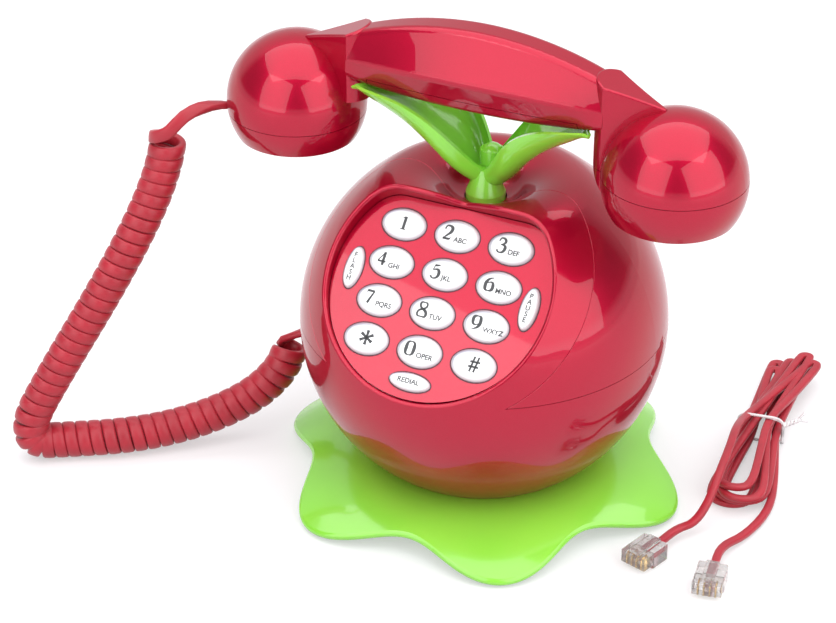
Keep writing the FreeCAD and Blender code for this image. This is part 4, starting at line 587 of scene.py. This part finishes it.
def hank_points(step):
    """Control points of the hank: loops drawn in at the waist, in layers that fan out towards their ends."""
    spread_out = 0.5 * HALVES_PER_LAYER
    corners = [math.radians(turn) for turn in (-67.5, -22.5, 22.5, 67.5)]
    points = []
    parts = 3 + len(corners)
    for k in range(parts * HALF_LOOPS + 1):
        half, part = divmod(k, parts)
        progress = half + part / parts
        layer = max(math.ceil(progress / HALVES_PER_LAYER) - 1, 0)
        into = progress - layer * HALVES_PER_LAYER
        ring = spread_out - 0.5 * into if layer % 2 == 0 else 0.5 * into
        way = 1 if half % 2 == 0 else -1
        waist = WAIST_HALF + step * ring
        width = FAR_LOOP_HALF if way > 0 else NEAR_LOOP_HALF + step * ring
        end = LOOP_REACH[way] + step * ring + REACH_SHIFT[min(half, HALF_LOOPS - 1)]
        floor = HANK_LOW + LAYER_STEP * layer
        rise = INNER_RISE if half in INNER_LOOPS else 0.0
        if part == 0:
            points.append(Vector((0, -way * waist, floor + WAIST_LIFT)))
            continue
        if part in (1, parts - 1):
            side = -way if part == 1 else way
            spot = Vector((way * (end - width) / 2, side * (waist + width) / 2, floor + rise * LEG_RISE))
        else:
            turn = corners[part - 2]
            reach = width / math.cos(corners[2])
            spot = Vector((way * (end - width + reach * math.cos(turn)), way * reach * math.sin(turn),
                           floor + rise))
        points.append(Matrix.Rotation(math.radians(FAN[way][layer]), 4, "Z") @ spot)
    return [HANK_PLACE @ point for point in points]


def tie_mesh(step, sides):
    """White tie: a loop round the hank's waist and a twisted pair of ends."""
    wide = WAIST_HALF + 0.5 * HALVES_PER_LAYER * step + TIE_ROOM
    high = HANK_LOW + WAIST_LIFT + HALF_LOOPS // HALVES_PER_LAYER * LAYER_STEP + TIE_RISE
    square = ((-1, TIE_LOW), (0, TIE_LOW), (1, TIE_LOW), (1, high / 2), (1, high), (0, high), (-1, high),
              (-1, high / 2))
    corners = (*square[5:], *square, *square[:1])
    loop = smooth_line([Vector((0, side * wide, height)) for side, height in corners], 8)
    for point in loop:
        point.y *= TIE_LEFT_SHARE if point.y > 0 else 1.0
    strands = [loop]
    start = Vector((0, -wide, high * TIE_END_SHARE))
    side = TIE_WAY.cross(UP).normalized()
    over = side.cross(TIE_WAY)
    for turn in (0.0, math.pi):
        points = []
        for k in range(TIE_STEPS):
            twist = turn + min(k, TIE_TWISTS) * math.pi / 4
            radius = TIE_HALF * (1.0 + TIE_SPLAY * max(k - TIE_TWISTS, 0))
            around = side * math.cos(twist) + over * math.sin(twist)
            points.append(start + TIE_WAY * (TIE_STEP * k) + around * radius)
        strands.append(smooth_line(points, 3))
    meshes = []
    for line in strands:
        outer = [point + TIE_FACE for point in line]
        meshes.append(flat_cord("strand", line, outer, 2 * TIE_HALF, 1.5 * TIE_HALF, sides))
    mesh = join_meshes("tie", meshes)
    mesh.transform(HANK_PLACE)
    return mesh


def box_part(shape, low, high, rounding=0.0):
    """Box between two corners, with its edges rounded."""
    size = [high[k] - low[k] for k in range(3)]
    middle = [(high[k] + low[k]) / 2 for k in range(3)]
    place = Matrix.Translation(middle) @ Matrix.Diagonal((*size, 1.0))
    made = bmesh.ops.create_cube(shape, size=1.0, matrix=place)
    if rounding:
        edges = list({edge for vertex in made["verts"] for edge in vertex.link_edges})
        bmesh.ops.bevel(shape, geom=edges, offset=rounding, affect="EDGES", segments=2, profile=0.5,
                        material=-1)


def plug_meshes(place):
    """Clear body with its latch lever, and the gold contacts, of a line plug."""
    long, half, tall = PLUG_LENGTH, PLUG_HALF, PLUG_TALL
    body = bmesh.new()
    box_part(body, (0, -half, -tall), (long * 0.62, half, tall), PLUG_ROUNDING)
    box_part(body, (long * 0.60, -half, -tall * 0.55), (long, half, tall), PLUG_ROUNDING)
    box_part(body, (long * 0.05, -half * 0.45, tall * 0.98), (long * 0.96, half * 0.45, tall * 1.32),
             LATCH_ROUNDING)
    contacts = bmesh.new()
    for k in range(CONTACTS):
        across = (k - (CONTACTS - 1) / 2) * CONTACT_PITCH
        box_part(contacts, (long * 0.70, across - CONTACT_HALF, -tall * 0.75),
                 (long * 0.93, across + CONTACT_HALF, tall * 0.5))
    meshes = []
    for name, shape in (("plug_body", body), ("plug_contacts", contacts)):
        bmesh.ops.transform(shape, matrix=place, verts=shape.verts)
        meshes.append(mesh_from(name, shape))
    return meshes


def sleeve_mesh(name, seat, way):
    """Short tapered sleeve where a cord leaves its housing."""
    place = Matrix.Translation(seat) @ way.to_track_quat("Z", "Y").to_matrix().to_4x4()
    shape = bmesh.new()
    bmesh.ops.create_cone(shape, cap_ends=True, segments=40, radius1=SLEEVE_WIDE, radius2=SLEEVE_NARROW,
                          depth=SLEEVE_LENGTH, matrix=place)
    rims = [edge for edge in shape.edges if edge.calc_face_angle(0.0) > RIM_ANGLE]
    bmesh.ops.bevel(shape, geom=rims, offset=SLEEVE_ROUNDING, affect="EDGES", segments=3, profile=0.5,
                    material=-1)
    return mesh_from(name, shape)


# Keys
def key_seat(node):
    """Place of a key's top, with X across the plate and Z out of it, and its half sizes."""
    joint = next(item for item in frame["joints"] if item["name"] == node + "_press")
    out = -Vector(joint["axis"]).normalized()
    across = Vector((1, 0, 0))
    up = out.cross(across)
    spots = [vertex.co for vertex in frame["nodes"][node].data.vertices]
    top = max(spot.dot(out) for spot in spots)
    cap = [spot for spot in spots if spot.dot(out) > top - CAP_DEPTH]
    middle = out * top
    halves = []
    for way in (across, up):
        reach = [spot.dot(way) for spot in cap]
        middle += way * (min(reach) + max(reach)) / 2
        halves.append((max(reach) - min(reach)) / 2)
    turn = Matrix((across, up, out)).transposed().to_4x4()
    return Matrix.Translation(middle) @ turn, halves


def oval_rings(shape, halves, levels):
    """Skin through ovals, each given by its inset and its height."""
    inset, height = levels[0]
    grown = Matrix.Diagonal((halves[0] - inset, halves[1] - inset, 1.0, 1.0))
    rings = [bmesh.ops.create_circle(shape, radius=1.0, segments=KEY_SIDES,
                                     matrix=Matrix.Translation((0, 0, height)) @ grown)["verts"]]
    edges = shape.edges[:]
    for wider, higher in levels[1:]:
        made = bmesh.ops.extrude_edge_only(shape, edges=edges)["geom"]
        ring = [item for item in made if isinstance(item, bmesh.types.BMVert)]
        ends = set(ring)
        edges = [item for item in made if isinstance(item, bmesh.types.BMEdge)]
        edges = [edge for edge in edges if ends.issuperset(edge.verts)]
        shares = [(half - wider) / (half - inset) for half in halves]
        bmesh.ops.scale(shape, vec=(*shares, 1.0), verts=ring)
        bmesh.ops.translate(shape, vec=(0, 0, higher - height), verts=ring)
        inset, height = wider, higher
        rings.append(ring)
    return rings


def key_mesh(node, halves, place):
    """Oval cap with a broad rounded edge, with painted shade in grey on its upper left and along its foot."""
    shape = bmesh.new()
    painted_rim_shade = shape.verts.layers.float.new("painted_rim_shade")
    small = min(1.0, min(halves) / FULL_HALF)
    levels = [(row[0] * small, row[1]) for row in KEY_PROFILE]
    for ring, row in zip(oval_rings(shape, halves, levels), KEY_PROFILE):
        painted_shade_all_round, painted_shade_upper_left = row[2:]
        # Painted shade: share of the grey on this ring, all round and more towards the upper left
        for vertex in ring:
            lean = (vertex.co.y / halves[1] - vertex.co.x / halves[0]) / math.sqrt(2)
            vertex[painted_rim_shade] = painted_shade_all_round + painted_shade_upper_left * max(lean, 0.0) ** 1.5
    bmesh.ops.holes_fill(shape, edges=shape.edges, sides=0)
    bmesh.ops.transform(shape, matrix=place, verts=shape.verts)
    return mesh_from(node + "_cap", shape)


def gap_shadow_mesh(halves, place):
    """Thin dark ring round a key, a painted shadow in the gap where the plate stops short of it."""
    shape = bmesh.new()
    height = GAP_LIFT - KEY_RISE
    oval_rings(shape, halves, ((GAP_LAP, height), (-GAP_WIDTH, height)))
    bmesh.ops.transform(shape, matrix=place, verts=shape.verts)
    return mesh_from("gap", shape)


def thicken(mesh, depth):
    """Gives flat lettering a little height."""
    shape = bmesh.new()
    shape.from_mesh(mesh)
    bmesh.ops.remove_doubles(shape, verts=shape.verts, dist=1e-7)
    bmesh.ops.solidify(shape, geom=shape.faces, thickness=depth)
    bmesh.ops.recalc_face_normals(shape, faces=shape.faces)
    shape.to_mesh(mesh)
    shape.free()


def words_mesh(words, height, place, align="CENTER"):
    """Flat raised lettering at its place."""
    curve = bpy.data.curves.new("words", "FONT")
    curve.body = words
    curve.size = height
    curve.align_x = align
    curve.align_y = "CENTER"
    curve.space_line = 0.85
    curve.offset = height * WORD_BOLDNESS
    curve.extrude = WORD_DEPTH
    holder = bpy.data.objects.new("words", curve)
    mesh = bpy.data.meshes.new_from_object(holder)
    mesh.transform(place)
    bpy.data.objects.remove(holder)
    bpy.data.curves.remove(curve)
    return mesh


def numeral_mesh(number, height, place):
    """Serif numeral drawn with a broad pen, centred on its place."""
    curve = bpy.data.curves.new("numeral", "CURVE")
    curve.dimensions = "3D"
    curve.twist_mode = "Z_UP"
    curve.extrude = 1.0
    curve.resolution_u = 8
    for stroke in NUMERALS[number]:
        spline = curve.splines.new("NURBS")
        spline.points.add(len(stroke) - 1)
        for spot, (x, y, half) in zip(spline.points, stroke):
            spot.co = (x, y, 0.0, 1.0)
            spot.radius = half * PEN
            spot.tilt = math.pi / 2
        spline.order_u = min(3, len(stroke))
        spline.use_endpoint_u = True
    holder = bpy.data.objects.new("numeral", curve)
    mesh = bpy.data.meshes.new_from_object(holder)
    thicken(mesh, NUMERAL_DEPTH)
    mesh.transform(place @ Matrix.Scale(height, 4) @ Matrix.Translation(-NUMERAL_MIDDLE))
    bpy.data.objects.remove(holder)
    bpy.data.curves.remove(curve)
    return mesh


def join_meshes(name, meshes):
    """One mesh from several."""
    shape = bmesh.new()
    for mesh in meshes:
        shape.from_mesh(mesh)
        bpy.data.meshes.remove(mesh)
    joined = bpy.data.meshes.new(name)
    shape.to_mesh(joined)
    shape.free()
    return joined


# Operators
class TELEPHONE_OT_shells(Operator):
    """Gives the shells, saucer and leaves their moulded finishes"""
    bl_idname = "telephone.shells"
    bl_label = "Shells and Leaves"

    def execute(self, context):
        props = context.scene.telephone_shell
        red = pearl_red(props)
        lime = glossy_lime(props)
        for node in SHELL_NODES:
            dress(node, red)
        for node in LEAF_NODES:
            dress(node, lime)
        return {"FINISHED"}


class TELEPHONE_OT_inside(Operator):
    """Gives the feet, boards, screws and other inner pieces their finishes"""
    bl_idname = "telephone.inside"
    bl_label = "Inner Pieces"

    def execute(self, context):
        finishes = {
            "soft_rubber": plain_finish("soft_rubber", (0.03, 0.03, 0.032), 0.7),
            "steel": plain_finish("zinc_steel", (0.6, 0.6, 0.62), 0.3, 1.0),
            "weight_iron": plain_finish("cast_iron", (0.12, 0.12, 0.125), 0.6, 0.8, 250.0, 0.2),
            "circuit_board": plain_finish("circuit_board", (0.02, 0.16, 0.05), 0.35),
            "black_plastic": plain_finish("black_plastic", (0.02, 0.02, 0.021), 0.4),
        }
        for item in frame["nodes"].values():
            slots = [slot.material.name for slot in item.material_slots if slot.material]
            for name in slots:
                if name in finishes:
                    dress(item.name, finishes[name])
        return {"FINISHED"}


class TELEPHONE_OT_keys(Operator):
    """Makes the fifteen keys with painted shade on their clear rims, printed legends, and a painted shadow in
    the gap round each
    """
    bl_idname = "telephone.keys"
    bl_label = "Keys"

    def execute(self, context):
        props = context.scene.telephone_key
        cap = key_cap(props)
        ink = printed_ink(props)
        gap_shadows = []
        for node, (number, letters) in LEGENDS.items():
            place, halves = key_seat(node)
            piece = new_piece(node + "_cap", key_mesh(node, halves, place), node + "_body", cap)
            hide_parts(node)
            self.print_legend(node, number, letters, place, halves, props, ink)
            gap_shadows.append(gap_shadow_mesh(halves, place))
        # Painted shadow: one dark ring flush with the plate stands for the shade in each key's gap
        dark = plain_finish("painted_gap_shadow", (0.09, 0.006, 0.02), 0.5)
        new_piece("key_gap_shadows", join_meshes("key_gap_shadows", gap_shadows), "body", dark)
        return {"FINISHED"}

    def print_legend(self, node, number, letters, place, halves, props, ink):
        """Prints a key's number and letters, or its word, which stands upright on a tall key."""
        parts = []
        if number:
            spot = place @ Matrix.Translation((*(NUMBER_SPOT if letters else LONE_SPOT), PRINT_LIFT))
            height = props.number_height * (SIGN_SHARE if number in "*#" else 1.0)
            parts.append(numeral_mesh(number, height, spot))
        if letters and number:
            spot = place @ Matrix.Translation((*LETTERS_SPOT, PRINT_LIFT))
            parts.append(words_mesh(letters, props.letter_height, spot, "LEFT"))
        elif letters:
            spot = place @ Matrix.Translation((0, 0, PRINT_LIFT))
            words = "\n".join(letters) if halves[1] > halves[0] else letters
            parts.append(words_mesh(words, props.letter_height, spot))
        name = node + "_legend"
        new_piece(name, join_meshes(name, parts), node + "_body", ink, smooth=False)


class TELEPHONE_OT_curly_cord(Operator):
    """Makes the curly cord between the handset and the body, with its sleeves"""
    bl_idname = "telephone.curly_cord"
    bl_label = "Curly Cord"

    def execute(self, context):
        props = context.scene.telephone_cord
        red = satin_cord(props)
        middle, outer = (smooth_line(rail, CORD_DETAIL) for rail in curl_rails(props))
        split = next(k for k, point in enumerate(middle) if point.z < SPLIT_HEIGHT)
        for node, body, seat, way in (("handset_gland", "handset", HANDSET_EXIT, LEAD_OUT_WAY),
                                      ("body_gland", "body", BODY_EXIT, LEAD_IN_WAY)):
            mesh = sleeve_mesh(node, seat - way * SLEEVE_SINK, way)
            sleeve = new_piece(node + "_sleeve", mesh, body, red)
            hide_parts(node)

        # The cord is made as an upper half and a lower half, neither riding on a body
        halves = (("curly_cord_upper", 0, split + 1, "cradle", "handset", *UPPER_STRETCH),
                  ("curly_cord_lower", split, len(middle), "body", "cradle", *LOWER_STRETCH))
        for name, first, last, low, high, start, end in halves:
            line = middle[first:last]
            mesh = flat_cord(name, line, outer[first:last], props.curl_width, props.curl_thickness,
                             props.sides)
            piece = new_piece(name, mesh, None, red)
            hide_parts("curly_cord")
            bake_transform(piece)
        return {"FINISHED"}


class TELEPHONE_OT_line_cord(Operator):
    """Makes the line cord, tied in a hank, with its two plugs and its tie"""
    bl_idname = "telephone.line_cord"
    bl_label = "Line Cord"

    def execute(self, context):
        props = context.scene.telephone_cord
        clear = clear_plastic()
        gold = plain_finish("gold_contact", (0.72, 0.50, 0.20), 0.25, 1.0)
        white = plain_finish("tie_white", (0.82, 0.80, 0.81), 0.45)
        ends = []
        extras = []
        for side, spot, turn in (("right", RIGHT_PLUG, RIGHT_PLUG_TURN), ("left", LEFT_PLUG, LEFT_PLUG_TURN)):
            place = Matrix.Translation(spot) @ Matrix.Rotation(turn, 4, "Z")
            ends.append(place @ Vector((CORD_IN_PLUG, 0, 0)))
            shell, contacts = plug_meshes(place)
            plug = new_piece("plug_%s_body" % side, shell, "body", clear, smooth=False)
            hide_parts("line_plug_" + side)
            blades = new_piece("plug_%s_contacts" % side, contacts, "body", gold)
            extras += [plug, blades]
        tie = new_piece("tie", tie_mesh(props.hank_step, props.sides), "body", white)
        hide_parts("twist_tie")
        route = [ends[0], Vector(RIGHT_PLUG)]
        route += [Vector(point) for point in reversed(TAIL_TO_RIGHT_PLUG)]
        route += hank_points(props.hank_step)
        route += [Vector(point) for point in TAIL_TO_LEFT_PLUG]
        route += [Vector(LEFT_PLUG), ends[1]]
        middle = smooth_line(route, LINE_DETAIL)
        outer = [point + UP for point in middle]
        mesh = flat_cord("line_cord", middle, outer, props.line_width, props.line_thickness, props.sides)
        piece = new_piece("line_cord", mesh, "body", bpy.data.materials["satin_cord"])
        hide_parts("line_cord_hank", "line_tail_left", "line_tail_right")
        return {"FINISHED"}


class TELEPHONE_OT_stage(Operator):
    """Makes the floor, the softboxes and the camera"""
    bl_idname = "telephone.stage"
    bl_label = "Stage"

    def execute(self, context):
        props = context.scene.telephone_stage
        self.make_floor(context, props)
        self.make_world(context, props)
        self.make_lamps(context, props)
        self.make_camera(context)
        context.scene.view_settings.view_transform = "Standard"
        return {"FINISHED"}

    def make_floor(self, context, props):
        """Paper floor that takes the shadow and glows white to the camera."""
        shape = bmesh.new()
        bmesh.ops.create_grid(shape, x_segments=4, y_segments=4, size=FLOOR_HALF)
        mesh = bpy.data.meshes.new("floor")
        shape.to_mesh(mesh)
        shape.free()
        material, nodes, links, shader = new_material("paper_floor")
        grain = noise(nodes, links, 60.0)
        tint = ramp(nodes, links, grain, darker(props.floor, 0.985), props.floor)
        links.new(tint, shader.inputs["Base Color"])
        shader.inputs["Roughness"].default_value = 0.9
        shader.inputs["Specular IOR Level"].default_value = 0.1
        glow = nodes.new("ShaderNodeEmission")
        seen = self.seen_rays(nodes, links)
        strength = combine(nodes, links, "MULTIPLY", seen, self.far_glow(nodes, links, props))
        links.new(strength, glow.inputs["Strength"])
        both = nodes.new("ShaderNodeAddShader")
        links.new(shader.outputs["BSDF"], both.inputs[0])
        links.new(glow.outputs["Emission"], both.inputs[1])
        links.new(both.outputs["Shader"], nodes["Material Output"].inputs["Surface"])
        mesh.materials.append(material)
        floor = bpy.data.objects.new("floor", mesh)
        floor.location.z = -FLOOR_DROP
        context.scene.collection.objects.link(floor)

    def far_glow(self, nodes, links, props):
        """Glow that turns the floor white far from the telephone."""
        where = nodes.new("ShaderNodeTexCoord")
        away = nodes.new("ShaderNodeVectorMath")
        away.operation = "LENGTH"
        links.new(where.outputs["Object"], away.inputs[0])
        return spread(nodes, links, away.outputs["Value"], props.glow, 1.0, NEAR_FLOOR, FAR_FLOOR)

    def seen_rays(self, nodes, links):
        """1 for rays that the camera sees straight, in a reflection or through something clear."""
        rays = nodes.new("ShaderNodeLightPath")
        total = rays.outputs["Is Camera Ray"]
        for name in ("Is Glossy Ray", "Is Transmission Ray"):
            total = combine(nodes, links, "MAXIMUM", total, rays.outputs[name])
        return total

    def make_world(self, context, props):
        """White backdrop along the horizon and behind the telephone, and a dim room above it."""
        world = bpy.data.worlds.new("studio")
        world.use_nodes = True
        nodes, links = world.node_tree.nodes, world.node_tree.links
        plain = nodes["Background"]
        plain.inputs["Color"].default_value = (0.96, 0.96, 1.0, 1.0)
        ways = nodes.new("ShaderNodeTexCoord")
        parts = nodes.new("ShaderNodeSeparateXYZ")
        links.new(ways.outputs["Generated"], parts.inputs["Vector"])
        height = spread(nodes, links, parts.outputs["Z"], 1.0, props.fill, *HORIZON)
        behind = nodes.new("ShaderNodeVectorMath")
        behind.operation = "DOT_PRODUCT"
        behind.inputs[1].default_value = ((CAMERA_TARGET - CAMERA_PLACE) * Vector((1, 1, 0))).normalized()
        links.new(ways.outputs["Generated"], behind.inputs[0])
        sweep = spread(nodes, links, behind.outputs["Value"], 0.0, props.backdrop, *SWEEP)
        links.new(combine(nodes, links, "MAXIMUM", height, sweep), plain.inputs["Strength"])
        context.scene.world = world

    def make_lamps(self, context, props):
        """Softboxes: a wide one overhead, square to the camera, and one standing on each side of it."""
        facing = (CAMERA_PLACE - CAMERA_TARGET) * Vector((1, 1, 0))
        azimuth = math.atan2(facing.x, -facing.y)
        for name, (turn, lift, reach, width, height) in SOFTBOXES.items():
            lamp = bpy.data.lights.new(name, "AREA")
            lamp.shape = "RECTANGLE"
            lamp.size = width
            lamp.size_y = height
            lamp.energy = props.lamp * math.pi * width * height
            box = bpy.data.objects.new(name, lamp)
            around = azimuth + math.radians(turn)
            rise = math.radians(lift)
            flat = math.cos(rise)
            way = Vector((math.sin(around) * flat, -math.cos(around) * flat, math.sin(rise)))
            box.location = LAMP_TARGET + way * reach
            box.rotation_euler = (math.pi / 2 - rise, 0.0, around)
            box.visible_camera = False
            context.scene.collection.objects.link(box)

    def make_camera(self, context):
        """Camera in the photograph's place."""
        data = bpy.data.cameras.new("camera")
        data.lens = CAMERA_LENS
        data.sensor_width = CAMERA_SENSOR
        data.clip_start = 0.05
        camera = bpy.data.objects.new("camera", data)
        camera.location = CAMERA_PLACE
        camera.rotation_euler = (CAMERA_TARGET - CAMERA_PLACE).to_track_quat("-Z", "Y").to_euler()
        context.scene.collection.objects.link(camera)
        context.scene.camera = camera


class TELEPHONE_PT_panel(Panel):
    bl_idname = "TELEPHONE_PT_panel"
    bl_label = "Fruit Telephone"
    bl_space_type = "VIEW_3D"
    bl_region_type = "UI"
    bl_category = "Telephone"

    def draw(self, context):
        for kind in OPERATORS:
            self.layout.operator(kind.bl_idname)


OPERATORS = (TELEPHONE_OT_stage, TELEPHONE_OT_curly_cord, TELEPHONE_OT_line_cord, TELEPHONE_OT_shells,
             TELEPHONE_OT_keys, TELEPHONE_OT_inside)
GROUPS = {"telephone_shell": ShellProps, "telephone_key": KeyProps, "telephone_cord": CordProps,
          "telephone_stage": StageProps}


def register():
    for name, kind in GROUPS.items():
        bpy.utils.register_class(kind)
        setattr(bpy.types.Scene, name, PointerProperty(type=kind))
    for kind in (*OPERATORS, TELEPHONE_PT_panel):
        bpy.utils.register_class(kind)


def unregister():
    for kind in reversed((*OPERATORS, TELEPHONE_PT_panel)):
        bpy.utils.unregister_class(kind)
    for name, kind in GROUPS.items():
        delattr(bpy.types.Scene, name)
        bpy.utils.unregister_class(kind)


def main():
    register()
    bpy.ops.telephone.stage()
    bpy.ops.telephone.curly_cord()
    bpy.ops.telephone.line_cord()
    bpy.ops.telephone.shells()
    bpy.ops.telephone.keys()
    bpy.ops.telephone.inside()


if __name__ == "__main__":
    main()
